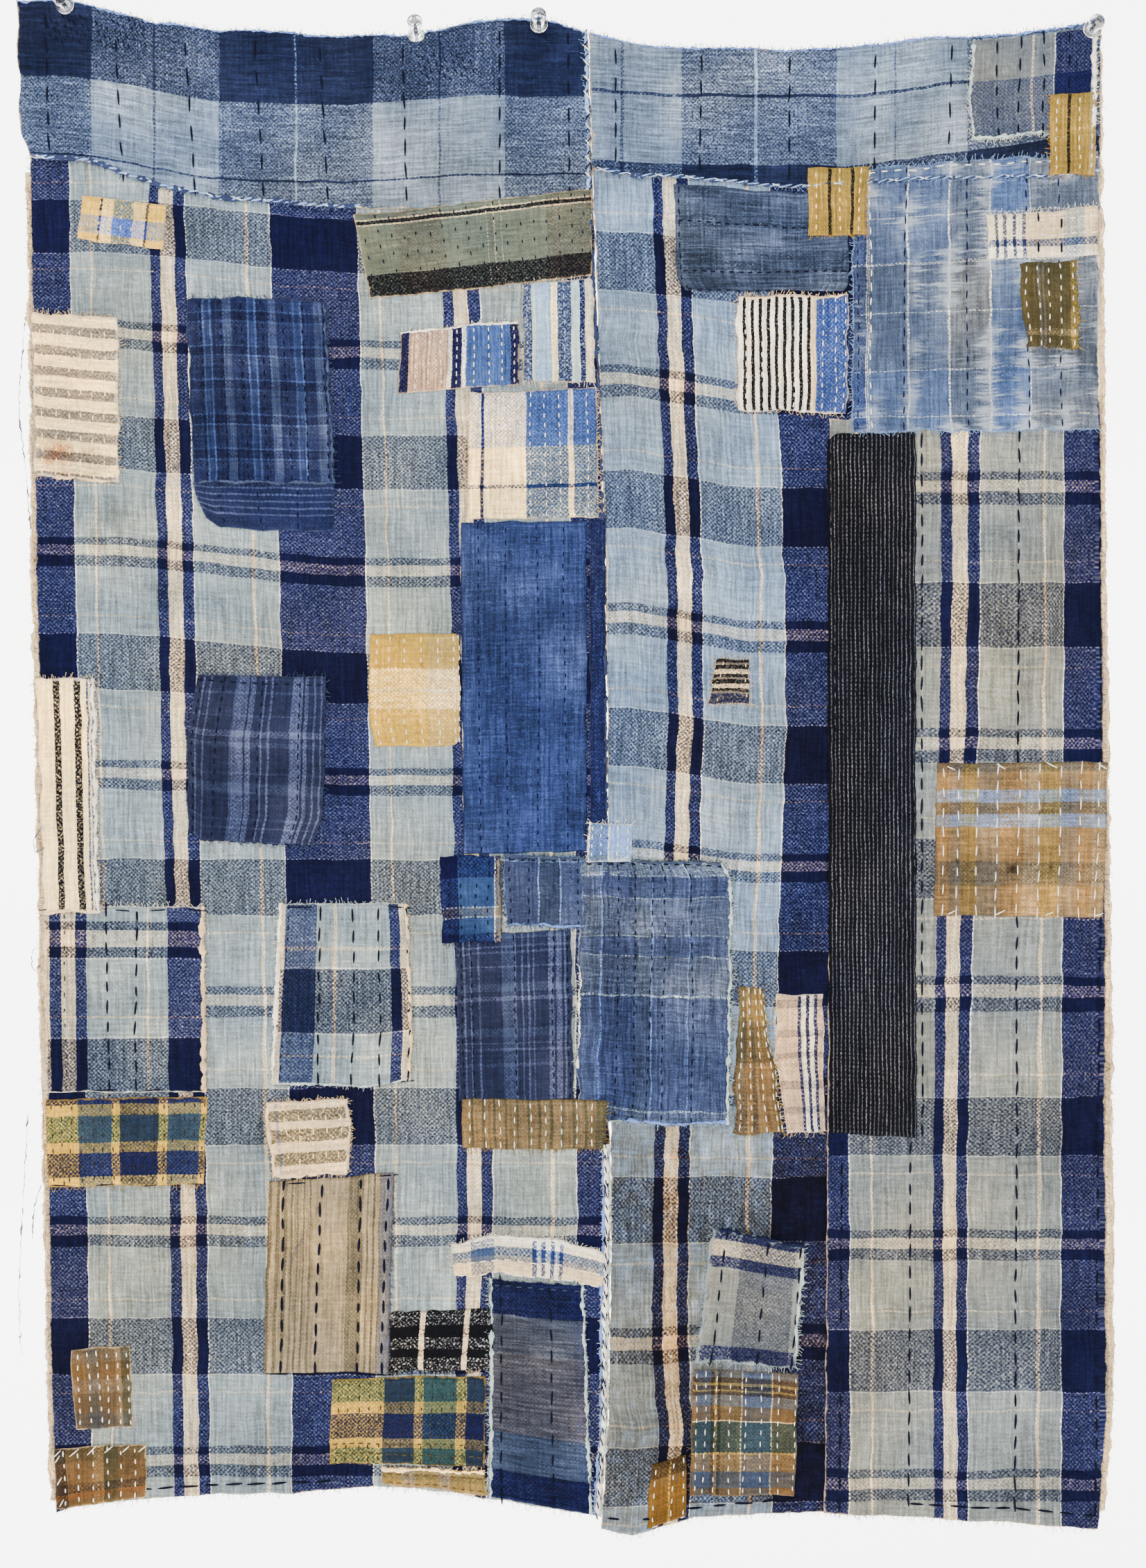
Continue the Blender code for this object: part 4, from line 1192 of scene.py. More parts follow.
# How each patch looks, from the top left down and then the right half: its weave as the warp's
# stripes and the weft's, each a dye and its width in mm, then its edges and its rows of stitches
PATCHES = {
    "cream_check": Look(Weave(
        "butter 11 navy 1.5 cream_yellow 7 bright_blue 12 cream 7.5 navy 1.5 butter 14",
        "butter 11 periwinkle 10.5 butter 14", share=0.5, grain=0.5),
        stitching=(Stitching(D.CREAM, columns=every(6.5, 5, 50), pitch=5.5, length=3),)),
    "olive_wide": Look(Weave(
        "olive_grey 21 umber 28 olive_grey 25 cream 0.9 olive_grey 3.2 cream 0.9 olive_grey 3.2 cream 0.9 "
        "olive_grey 26 umber 31", "olive_grey 4 cream 0.9 black 2.2 cream 0.9 olive_grey 29.5 black 20",
        share=0.33, grain=0.7, fade=0.15),
        stitching=(Stitching(D.INK, columns=every(7.5, 4, 137), pitch=8.5, length=2.6, width=0.9),)),
    "cream_bands_high": Look(Weave(
        "cream 60", "cream_yellow 6.8 taupe 5.6 " * 8, share=0.24, ragged=0.2, grain=0.7, thread=1.4,
        worn=D.WHITE, wear=2.0, spots=(Spot(D.RUST, 14, 82, 11, 0.75), Spot(D.AMBER, 30, 86, 12, 0.4))),
        edge=Edge.FRAYED, rolls=(Roll("bottom", D.CREAM, 1.0), Roll("top", D.CREAM, 0.8)),
        frays="right left top", fibre=D.CREAM,
        stitching=(Stitching(D.CREAM_YELLOW, columns=every(7.6, 5, 50), pitch=6.5, length=3.6),)),
    "indigo_under": Look(Weave(
        "indigo 90", "night 2.6 line_blue 1 " * 6 + "night 14 ", share=0.5, fade=0.2, worn=D.DENIM),
        stitching=(Stitching(D.INK, columns=(14, 36, 58), pitch=6, length=3.4, width=0.9),)),
    "indigo_check": Look(Weave(
        "night 9 mid_blue 1.1 indigo 3.2 mid_blue 1.1 night 7 denim 5",
        "indigo 7 mid_blue 1 night 5 mid_blue 1 denim_dark 6", repeat=True, streak=0.25, fade=0.25,
        worn=D.DENIM),
        edge=Edge.FRAYED, rolls=(Roll("bottom", D.DENIM, 0.8), Roll("right", D.DENIM, 0.6)),
        frays="bottom right top", fibre=D.DENIM,
        stitching=(Stitching(D.INK, columns=every(12, 8, 82), pitch=6.5, length=3.4, width=0.9),)),
    "taupe_blue_strip": Look(Weave(
        "navy 5 linen 23.5 white 2.6 navy 5.6 white 2.5 bright_blue 26 navy 8", "taupe 38 cream 5",
        share=0.82, streak=0.25),
        rolls=(Roll("top", D.WHITE, 0.7),),
        stitching=(Stitching(D.WHITE, columns=(10, 17, 24.6, 34, 44, 53, 60.7, 67.6), pitch=5,
        length=2.9),)),
    "stripe_seam": Look(Weave(
        "navy_faded 5.2 mist 2 pale_blue 9.2 cream_yellow 4 navy_faded 8 mist 5.2 navy 3 cream 10",
        "mist 70", share=0.74, grain=0.7, flecks=0.8),
        frays="top bottom", fibre=D.WHITE,
        stitching=(Stitching(D.PALE_BLUE, columns=(3, 24, 40), pitch=5, length=2.8),)),
    "cream_blue_block": Look(Weave(
        "cream_yellow 7 navy 2 cream_yellow 25 blue 24.5 cream 3.4 blue 16",
        "periwinkle 33 cream_yellow 22 navy 2.2 cream_yellow 22", share=0.66, fade=0.16, streak=0.22),
        frays="left right", fibre=D.CREAM,
        stitching=(Stitching(D.WHITE, columns=every(8.2, 4, 76), pitch=5.4, length=3),)),
    "blue_solid": Look(Weave(
        "faded_indigo 90", "faded_indigo 200", grain=0.8, streak=0.3, fade=0.32, flecks=0.22, worn=D.NAVY),
        stitching=(Stitching(D.NAVY, columns=(10, 26, 44, 60), pitch=7, length=3.4, width=0.9),)),
    "navy_edge": Look(Weave(
        "indigo 20", "navy 200", streak=0.3, flecks=0.25, worn=D.DENIM, wear=0.5),
        edge=Edge.CUT),
    "gold_block": Look(Weave(
        "gold 31 olive_cream 30", "gold 20 cream_yellow 12.4 white 1.8 cream_yellow 10 butter 30",
        share=0.52, worn=D.GOLD),
        stitching=(Stitching(D.WHITE, columns=(4, 10.8, 19, 28, 37.5, 46.5, 52), pitch=5.6, length=3.3),)),
    "cream_stripes": Look(Weave(
        "cream_yellow 9.5 black 3.8 cream_yellow 8 black 4 cream_yellow 3.2 blue 1.1 cream 1.2 blue 1.1 "
        "white 9", "cream_yellow 150", share=0.72, grain=0.75, thread=1.4, worn=D.WHITE, wear=2.2),
        edge=Edge.FRAYED, rolls=(Roll("right", D.WHITE, 1.2), Roll("bottom", D.CREAM, 0.8)),
        frays="left right top"),
    "indigo_plaid": Look(Weave(
        "ink_blue 4 line_blue 1 ink_blue 3 line_blue 1 ink_blue 14 denim 1 line_blue 6.5 ink_blue 1 "
        "line_blue 3 ink_blue 5 line_blue 1 ink_blue 3 line_blue 1 ink_blue 11 line_blue 6 ink_blue 1.4 "
        "line_blue 2 ink_blue 3 line_blue 1 ink_blue 3 line_blue 1 ink_blue 9",
        "ink_blue 9 denim 1.2 ink_blue 12 denim 1.2 ink_blue 8 line_blue 4 ink_blue 3 denim 3 ink_blue 14 "
        "denim 1.2 ink_blue 5 denim 6 ink_blue 14 denim 1.2 ink_blue 4 denim 1.2 ink_blue 30", fade=0.2,
        worn=D.DENIM),
        frays="top right bottom", fibre=D.DENIM,
        stitching=(Stitching(D.INK, columns=(3, 16, 38, 60, 77), rows=(3, 97), pitch=6, length=3.6,
        width=0.9),)),
    "plaid_left": Look(Weave(
        "cream 3 navy 6.5 cream 8.4 navy 6.5 haze 34 cream 1.6 haze 11 navy 20 cream 6",
        "haze 9 ink 5 cream 9.4 ink 6.6 white 0.8 haze 33 cream 1.2 haze 11 white 0.8 ink 40", fade=0.16,
        streak=0.22, worn=D.WHITE),
        rolls=(Roll("right", D.CREAM, 1.5), Roll("left", D.CREAM, 0.9, 0.1, 0.8)), frays="left top",
        fibre=D.WHITE,
        stitching=(Stitching(D.INK, columns=(36, 53.5), width=1.4), Stitching(D.INK, columns=(12,),
        pitch=9, length=3), Stitching(D.INK, rows=(2.2,), pitch=21, length=15, width=1.0),
        Stitching(D.INK, rows=(107,), pitch=24, length=13, width=1.0))),
    "plaid_centre": Look(Weave(
        "cream 4 navy_faded 19 haze 10 cream 2 haze 32 navy 6 cream 6.5 cream 9",
        "haze 25 cream 2 haze 10 white 0.8 ink 36.5 white 0.8 haze 12 cream 1.5 haze 30", fade=0.16,
        streak=0.22, worn=D.WHITE),
        rolls=(Roll("left", D.WHITE, 1.4), Roll("right", D.CREAM, 0.9), Roll("bottom", D.MIST, 0.7)),
        frays="top right", fibre=D.MIST,
        stitching=(Stitching(D.INK, columns=(25, 44.5, 60.5, 78), width=1.4), Stitching(D.NAVY,
        columns=(6,), pitch=6, length=3), Stitching(D.INK, rows=(2.4,), pitch=32, length=18, width=1.0),
        Stitching(D.INK, rows=(106,), pitch=28, length=16, width=1.0))),
    "gold_check_left": Look(Weave(
        "butter 19 slate 19 butter 4.4 ink_blue 22 butter 5.4 slate 19 butter 8",
        "navy 3 gold 6.6 teal_dark 15.5 gold 6 navy 14 butter 9", share=0.52, fade=0.14, worn=D.GOLD,
        grain=0.4),
        frays="bottom left", fibre=D.GOLD,
        stitching=(Stitching(D.BARK, columns=every(5.8, 4, 92), pitch=7.4, length=3, width=0.8),
        Stitching(D.INK, rows=(50,), pitch=24, length=11, width=0.9))),
    "cream_bands_low": Look(Weave(
        "cream 4.5 periwinkle 1.6 cream 60",
        "cream 4.6 khaki_dark 6.8 cream 4.6 khaki_dark 7.4 cream 6.2 khaki_dark 7.6 cream 10", share=0.3,
        ragged=0.25, grain=0.8, thread=1.4, worn=D.WHITE, wear=2.4),
        edge=Edge.FRAYED,
        rolls=(Roll("bottom", D.CREAM, 1.5), Roll("left", D.CREAM, 1.0), Roll("top", D.CREAM, 0.9),
        Roll("right", D.CREAM, 0.8)), frays="left bottom top right",
        stitching=(Stitching(D.CREAM_YELLOW, columns=every(7.6, 10, 48), pitch=6.5, length=3.6),)),
    "khaki_tall": Look(Weave(
        "khaki_dark 2 khaki 2.4 " * 3 + "khaki_dark 1 khaki 2.6 " * 4 + "khaki 19 khaki_dark 9 " + "khaki "
        "2.4 khaki_dark 1.1 " * 3 + "grey 20 ", "khaki 130", share=0.75, streak=0.2, fade=0.12,
        worn=D.KHAKI_DARK),
        rolls=(Roll("right", D.GREY, 0.8),),
        stitching=(Stitching(D.INK, columns=(9, 31, 54, 70), width=1.8), Stitching(D.INK, rows=(115,),
        pitch=16, length=12, width=1.3), Stitching(D.INK, rows=(2,), pitch=30, length=12, width=1.0))),
    "brown_small": Look(Weave(
        "brown 9 umber 6 brown 10 toffee 3 olive 12", "taupe 8 brown 10 taupe 8 umber 12 slate 16",
        fade=0.2),
        stitching=(Stitching(D.WHITE, columns=every(5.5, 4, 34), pitch=6, length=3.2, width=0.9),)),
    "brown_corner": Look(Weave(
        "bark 7 brown 15 toffee 6 olive 8 brown 20", "olive 8 brown 12 bark 5 rust 3 brown 20", fade=0.2),
        stitching=(Stitching(D.WHITE, columns=every(8, 6, 52), pitch=6, length=3.2, width=0.9),
        Stitching(D.WHITE, rows=(2.5, 34), pitch=9, length=7, lean=38), Stitching(D.WHITE, columns=(2.5,),
        pitch=9, length=6, lean=-38))),
    "black_fleck": Look(Weave(
        "black 17 cream 3.2 black 23 cream 3.2 black 22", "white 9 black 7 white 6.5 black 5 white 14",
        share=0.84, grain=0.9, thread=1.2, streak=0.1, worn=D.BLACK),
        edge=Edge.FRAYED, frays="right bottom", fibre=D.BLACK,
        stitching=(Stitching(D.CREAM, columns=(18.6, 45), pitch=3.2, length=2.4, width=1.6),)),
    "gold_check_low": Look(Weave(
        "butter 31 ink_blue 18.5 butter 5 teal 19.5 butter 6 night 20",
        "teal_dark 14 ochre 6.6 navy 15 ochre 5.6 teal_dark 20", share=0.5, fade=0.14, worn=D.GOLD,
        grain=0.4),
        stitching=(Stitching(D.BARK, columns=every(6.2, 4, 90), pitch=6.6, length=3, width=0.8),
        Stitching(D.OLIVE, rows=(39, 45, 51), pitch=5, length=3.4, width=0.9))),
    "gold_strip": Look(Weave(
        "ochre 12 khaki 8 ochre 14 khaki 6 ochre 30", "taupe 3 umber 3.5 toffee 20", ragged=0.3,
        worn=D.TOFFEE),
        edge=Edge.FRAYED, rolls=(Roll("top", D.CREAM_YELLOW, 1.0),), frays="bottom right",
        stitching=(Stitching(D.BROWN, rows=(4, 9.5), pitch=5.5, length=3.8),)),
    "dusk_bands": Look(Weave(
        "dark_slate 50 navy_faded 20", "navy 20 iron 22 dusk 46 slate 22 navy 40", share=0.3, fade=0.25,
        streak=0.28, worn=D.MIST),
        rolls=(Roll("left", D.MIST, 1.0), Roll("right", D.MIST, 0.9)), frays="left", fibre=D.MIST,
        stitching=(Stitching(D.INK, columns=(6.5, 36), width=1.4), Stitching(D.SLATE, rows=(4,), pitch=6,
        length=3.4))),
    "white_strip": Look(Weave(
        "cream 11.5 blue_grey 14 cream 22 royal 2.4 white 2.8 royal 2.2 white 3 royal 2.4 white 2.8 royal "
        "2.2 cream 30", "white 5.5 blue 4.4 blue_grey 2.6 cream 30", share=0.46, worn=D.WHITE),
        edge=Edge.FRAYED, rolls=(Roll("top", D.WHITE, 0.9),), frays="top left", fibre=D.WHITE,
        stitching=(Stitching(D.WHITE, rows=(3, 12, 23), pitch=7, length=5),)),
    "khaki_strip": Look(Weave(
        "toffee 5 olive 1.6 " * 12 + "olive 10 ", "khaki_dark 60", share=0.5, streak=0.22, fade=0.2,
        worn=D.OLIVE),
        frays="bottom right", fibre=D.OCHRE,
        stitching=(Stitching(D.WHITE, columns=every(8.9, 4.5, 82), pitch=6.4, length=4.2),)),
    "indigo_lines": Look(Weave(
        "ink_blue 4 line_blue 1 ink_blue 2.5 line_blue 1 ink_blue 4 line_blue 1.2 ink_blue 13 denim 7 "
        "line_blue 1.4 ink_blue 3 line_blue 1 ink_blue 2.6 line_blue 1 ink_blue 2 line_blue 1 ink_blue 8 "
        "line_blue 3 ink_blue 1.4 line_blue 3 ink_blue 1.4 line_blue 1.2 ink_blue 10",
        "denim 3 ink_blue 4 line_blue 1 ink_blue 2.4 line_blue 1 ink_blue 7 line_blue 1.2 ink_blue 9 denim "
        "5 ink_blue 3 line_blue 2.4 ink_blue 16 denim 5 ink_blue 3 line_blue 1.2 ink_blue 2.4 line_blue "
        "1.2 ink_blue 7 denim 2 ink_blue 30", fade=0.16, worn=D.DENIM),
        stitching=(Stitching(D.INK, columns=(3, 9, 34, 57, 65), pitch=6, length=3.8, width=0.9),)),
    "blue_brown_line": Look(Weave(
        "navy 10 blue 21 white 0.9 taupe 9", "navy 12 blue 17 white 0.9 taupe 5 white 0.9 blue 9 navy 9",
        fade=0.2, worn=D.NAVY),
        edge=Edge.FRAYED, rolls=(Roll("right", D.TAUPE, 0.8),), frays="bottom", fibre=D.NAVY,
        stitching=(Stitching(D.INK, columns=(4, 12, 20, 28), pitch=6, length=3, width=0.9),)),
    "denim_square": Look(Weave(
        "denim_dark 19 pale_blue 0.8 dark_slate 12 pale_blue 0.8 denim 20",
        "slate 3 pale_blue 0.8 denim_dark 50", streak=0.22, grain=0.6, flecks=0.25, fade=0.2,
        worn=D.PALE_BLUE),
        edge=Edge.FRAYED, rolls=(Roll("bottom", D.SKY, 0.7), Roll("top", D.SLATE, 0.8)),
        frays="left right bottom", fibre=D.DENIM,
        stitching=(Stitching(D.INK, columns=(3, 14, 43), rows=(3,), pitch=6, length=3, width=0.9),)),
    "pale_tag": Look(Weave(
        "mid_blue 11.5 white 1.2 pale_blue 20", "pale_blue 7 sky 12 haze 8", share=0.6, worn=D.WHITE),
        rolls=(Roll("left", D.WHITE, 0.5),), frays="top", fibre=D.WHITE,
        stitching=(Stitching(D.WHITE, columns=(2.5, 7.5, 12.4, 17.5, 23), pitch=4.6, length=2.6),)),
    "blue_plaid_large": Look(Weave(
        "denim 11.5 sky 0.9 denim_dark 19 slate 9 sky 0.8 denim 20 sky 0.9 denim 40",
        "haze 9 mist 0.9 denim_dark 11.5 mist 0.9 blue_grey 22 mist 0.9 denim_dark 10.5 mist 0.9 blue_grey "
        "22 mist 0.9 denim_dark 65 mist 0.9 blue_grey 20", twill=True, wobble=1.3, grain=0.8, streak=0.34,
        fade=0.26, flecks=0.2, worn=D.MIST),
        edge=Edge.FRAYED,
        rolls=(Roll("right", D.MIST, 1.1), Roll("bottom", D.SKY, 0.8, 0.3, 1.0), Roll("left", D.WHITE,
        0.6, 0.42, 0.8), Roll("top", D.SLATE, 0.8, 0.3, 1.0)), frays="right bottom top", fibre=D.MIST,
        stitching=(Stitching(D.INK, columns=(22, 31.5, 41, 48, 62.5), pitch=6.5, length=3.6, width=0.9),
        Stitching(D.INK, rows=(3,), pitch=6, length=3.6, width=1.2), Stitching(D.INK, columns=(88.5,),
        pitch=5.5, length=3.2, width=1.0))),
    "khaki_wedge": Look(Weave(
        "umber 6 toffee 3 umber 2 toffee 9 olive 20", "ochre 20 olive 24 toffee 60", streak=0.25, fade=0.2,
        worn=D.OLIVE),
        edge=Edge.FRAYED, frays="right bottom", fibre=D.OCHRE,
        stitching=(Stitching(D.WHITE, columns=(4, 9, 14, 19, 24), pitch=6, length=3.8),
        Stitching(D.OLIVE_CREAM, columns=(27,), pitch=4, length=4, lean=35))),
    "cream_navy_lines": Look(Weave(
        "linen 11 navy 1.8 white 2.6 navy 1.8 white 2.4 navy 1.8 linen 20",
        "cream 2.5 taupe 5 cream 13 taupe 4 cream 9 taupe 3.6 cream 13 taupe 5 cream 10 taupe 4 cream 20",
        share=0.6, worn=D.WHITE),
        edge=Edge.CUT, frays="left bottom", fibre=D.CREAM),
    "pinstripe": Look(Weave(
        "black 1.8 grey 0.65", "black 50", repeat=True, share=0.82, wobble=0.4, grain=0.5, streak=0.24,
        fade=0.2, worn=D.BLACK),
        stitching=(Stitching(D.INK, columns=(1.6, 50.6), pitch=8, length=5),)),
    "slate": Look(Weave(
        "slate 120", "slate 15 dark_slate 8 slate 14 dark_slate 12 slate 40", share=0.4, grain=0.8,
        streak=0.38, fade=0.4, flecks=0.15, worn=D.SLATE),
        stitching=(Stitching(D.INK, rows=(21, 50, 62), pitch=5.4, length=3.4, width=1.0), Stitching(D.INK,
        columns=(2.5, 100), pitch=6, length=3.6, width=0.9))),
    "ochre_left": Look(Weave(
        "ochre 11 black 1.9 ochre 11.6 black 1.9 ochre 20", "ochre 60", share=0.7, streak=0.2, fade=0.14,
        worn=D.GOLD),
        frays="right bottom", fibre=D.GOLD,
        stitching=(Stitching(D.CREAM_YELLOW, columns=(4, 18, 30), pitch=5.4, length=3.2),)),
    "ochre_right": Look(Weave(
        "ochre 9.6 black 1.9 ochre 11.2 olive_cream 20", "ochre 60", share=0.7, streak=0.2, fade=0.14,
        worn=D.GOLD),
        frays="bottom left", fibre=D.GOLD,
        stitching=(Stitching(D.WHITE, columns=(4, 17, 25), pitch=5.4, length=3.2),)),
    "plaid_corner": Look(Weave(
        "fog 36 cream 1.4 fog 11.6 white 0.9 navy 21.5 mist 20", "fog 25 navy_faded 34 mist 20",
        worn=D.MIST, wear=1.4),
        edge=Edge.FRAYED,
        rolls=(Roll("left", D.MIST, 1.0), Roll("right", D.WHITE, 1.6), Roll("bottom", D.MIST, 0.9, 0.0,
        0.6)), frays="left bottom right", fibre=D.WHITE,
        stitching=(Stitching(D.INK, columns=(15.6, 29.5, 43, 57.5), width=1.3),)),
    "ikat_blue": Look(Weave(
        "faded_indigo 7.4 white 0.6 ikat_blue 0.8 white 0.6 ikat_blue 22.6 white 0.9 ikat_blue 24 white "
        "0.9 ikat_grey 23.6 white 0.9 mid_blue 22.5 white 0.9 ikat_grey 50",
        "ikat_blue 29 white 0.9 ikat_blue 26.8 white 0.9 ikat_grey 28.4 white 0.9 ikat_grey 32.5 white 0.9 "
        "ikat_blue 27.4 white 0.9 ikat_blue 40", grain=0.6, streak=0.22, fade=0.25, wobble=0.9,
        worn=D.PALE_BLUE, ikat=True),
        edge=Edge.FRAYED, frays="top left bottom", fibre=D.PALE_BLUE,
        stitching=(Stitching(D.NAVY, columns=(32, 68.5, 103, 122), pitch=9, length=5.6, width=1.0),
        Stitching(D.NAVY, columns=(3,), pitch=7, length=4.4), Stitching(D.WHITE, columns=(10,), rows=(3,),
        pitch=8, length=5, width=0.9))),
    "white_blue_bars": Look(Weave(
        "white 4 navy_faded 2 white 3 navy_faded 2 white 3.8 navy_faded 2 white 3.6 navy_faded 2 cream 23 "
        "haze 12 cream 20", "cream 16 navy_faded 4.4 white 8 navy 6", share=0.55, worn=D.WHITE),
        frays="left top", fibre=D.WHITE,
        stitching=(Stitching(D.WHITE, rows=(4, 13), pitch=6, length=4), Stitching(D.INK, columns=(30, 44),
        width=1.4))),
    "olive_small": Look(Weave(
        "olive 9 grey 1.4 olive 1.2 grey 1.4 olive 15 ochre 4.4 olive 8", "olive 40 khaki 4 olive 20",
        fade=0.2, worn=D.OLIVE),
        edge=Edge.FRAYED, frays="bottom right", fibre=D.OLIVE_CREAM,
        stitching=(Stitching(D.WHITE, columns=(3, 9, 16, 22.5, 30), pitch=6.4, length=3.2, width=0.8),)),
    "taupe_lines": Look(Weave(
        "white 2.8 black 1.9 " * 9 + "cream 3.4 lapis 40 ", "cream 14 white 4 cream 16 white 4 cream 40",
        share=0.88, streak=0.18, worn=D.WHITE),
        edge=Edge.FRAYED, rolls=(Roll("top", D.CREAM, 0.7),), frays="left top bottom",
        stitching=(Stitching(D.WHITE, columns=(5, 14.5, 24, 34, 43.5, 50.5, 57.5, 63), pitch=5.8,
        length=3.4),)),
    "fleck_tag": Look(Weave(
        "taupe 8 umber 2 taupe 14",
        "black 2.2 taupe 1.3 black 2.6 cream 2.8 black 2.2 taupe 1.1 black 2.8 cream 2.4 black 2 taupe 1.1 "
        "night 14", share=0.26, ragged=0.3, grain=0.9, thread=1.3, worn=D.CREAM, wear=0.4),
        edge=Edge.FRAYED, frays="left right top bottom",
        stitching=(Stitching(D.CREAM, columns=(5, 19), pitch=6, length=2.2, width=0.7),)),
    "brown_bands": Look(Weave(
        "toffee 8 taupe 7 ochre 9 taupe 13 toffee 14 khaki 9 ochre 12 taupe 10 toffee 8 khaki 20",
        "umber 5 toffee 10.5 sky 7.5 umber 7 sky 7.5 toffee 20 umber 14 toffee 40", share=0.48, ragged=0.3,
        fade=0.22, streak=0.22, worn=D.UMBER,
        spots=(Spot(D.BARK, 46, 62, 4, 0.8), Spot(D.BARK, 67, 61, 2, 0.7), Spot(D.BARK, 12, 58, 2, 0.6))),
        stitching=(Stitching(D.WHITE, columns=(4, 13, 24, 36, 48.5, 60, 72, 83.6, 94), pitch=10.4,
        length=7.2, width=0.8), Stitching(D.WHITE, rows=(3,), pitch=24, length=7, width=0.8, lean=-28),
        Stitching(D.WHITE, rows=(88,), pitch=24, length=6, width=0.8, lean=24))),
    "grey_frayed": Look(Weave(
        "haze_green 19 iron 33 haze_green 20", "navy 5 cream 9 navy 6.5 haze_green 44 navy 25", share=0.55,
        grain=0.55, worn=D.MIST, wear=2.2),
        edge=Edge.FRAYED,
        rolls=(Roll("right", D.MIST, 1.0, 0.15, 0.9), Roll("left", D.HAZE, 0.7), Roll("top", D.NIGHT, 1.1)),
        frays="left right bottom", fibre=D.MIST,
        stitching=(Stitching(D.INK, columns=(9, 35, 55), width=1.4),)),
    "brown_blue_check": Look(Weave(
        "brown 2 slate 9 bark 2.2 ochre 1.6 bark 2.2 khaki_dark 12 cream_yellow 0.8 slate 17 cream_yellow "
        "0.8 brown 20",
        "blue_grey 4 bark 3 ochre 1.6 bark 2.2 ochre 1.2 bark 2 blue_grey 6 brown 8 cream_yellow 0.8 "
        "teal_dark 17.5 gold 0.9 toffee 10 slate 9 brown 20", share=0.45, fade=0.14, worn=D.TAUPE),
        frays="left top", fibre=D.TAUPE,
        stitching=(Stitching(D.WHITE, columns=(2, 8, 14.5, 23, 32, 41, 51, 61), pitch=6.2, length=3.4,
        width=0.7),)),
    "yellow_low": Look(Weave(
        "amber 11 butter 1.2 amber 30", "bark 9 brown 5 amber 40", share=0.5, fade=0.2, worn=D.AMBER),
        stitching=(Stitching(D.WHITE, columns=(3, 14, 20), rows=(36,), pitch=6, length=3.4),)),
}


class ThreadTree(Nodes):
    """Grows threads on lines. Each kind of thread names two sizes and fills in grow()."""

    NAME = ""
    SIZES = ("", "")

    def __init__(self) -> None:
        """Builds the tree once; every colour of thread uses it."""
        super().__init__(bpy.data.node_groups.new(self.NAME, "GeometryNodeTree"))
        face = self.tree.interface
        kinds = (("Lines", "Geometry"), (self.SIZES[0], "Float"), (self.SIZES[1], "Float"),
                 ("Thread", "Material"))
        self.sockets = [face.new_socket(name, in_out="INPUT", socket_type="NodeSocket" + kind).identifier
                        for name, kind in kinds]
        face.new_socket("Threads", in_out="OUTPUT", socket_type="NodeSocketGeometry")
        given = self.add("NodeGroupInput", {}).node.outputs
        curve = self.add("GeometryNodeMeshToCurve", {"Mesh": given[0]})
        real = self.add("GeometryNodeRealizeInstances", {"Geometry": self.grow(curve, given[1], given[2])})
        done = self.add("GeometryNodeSetMaterial", {"Geometry": real, "Material": given[3]})
        self.add("NodeGroupOutput", {0: done})

    def grow(self, curve: Socket, first: Socket, second: Socket) -> Socket:
        """The threads on the lines, from the kind's two sizes."""
        raise NotImplementedError

    def read(self, name: str) -> Socket:
        """A number kept on the lines."""
        return self.add("GeometryNodeInputNamedAttribute", {"Name": name}, data_type="FLOAT")

    def random(self, low: object, high: object, seed: int) -> Socket:
        """A fixed random number for each thread."""
        return self.add("FunctionNodeRandomValue", {2: low, 3: high, 8: seed}, 1, data_type="FLOAT")

    def apart(self, curve: Socket, step: Socket) -> Socket:
        """Points a step apart along the lines."""
        return self.add("GeometryNodeResampleCurve", {"Curve": curve, "Length": step}, mode="LENGTH")

    def tube(self, curve: Socket, sides: int, radius: float) -> Socket:
        """A closed tube along a curve."""
        ring = self.add("GeometryNodeCurvePrimitiveCircle", {"Resolution": sides, "Radius": radius})
        return self.add("GeometryNodeCurveToMesh", {"Curve": curve, "Profile Curve": ring,
                                                    "Fill Caps": True})

    def moved(self, shape: Socket, shift: Socket) -> Socket:
        """A shape with each of its points moved, and shaded smooth."""
        there = self.add("GeometryNodeSetPosition", {"Geometry": shape, "Offset": shift})
        return self.add("GeometryNodeSetShadeSmooth", {"Geometry": there})

    def swung(self, turn: Socket, axis: tuple, angle: Socket) -> Socket:
        """A turn followed by a swing about its own axis."""
        swing = self.add("FunctionNodeAxisAngleToRotation", {"Axis": axis, "Angle": angle})
        return self.add("FunctionNodeRotateRotation", {"Rotation": turn, "Rotate By": swing},
                        rotation_space="LOCAL")

    def placed(self, points: Socket, shape: Socket, turn: Socket, size: tuple) -> Socket:
        """A copy of a shape at each point."""
        scale = self.add("ShaderNodeCombineXYZ", dict(enumerate(size)))
        return self.add("GeometryNodeInstanceOnPoints",
                        {"Points": points, "Instance": shape, "Rotation": turn, "Scale": scale})


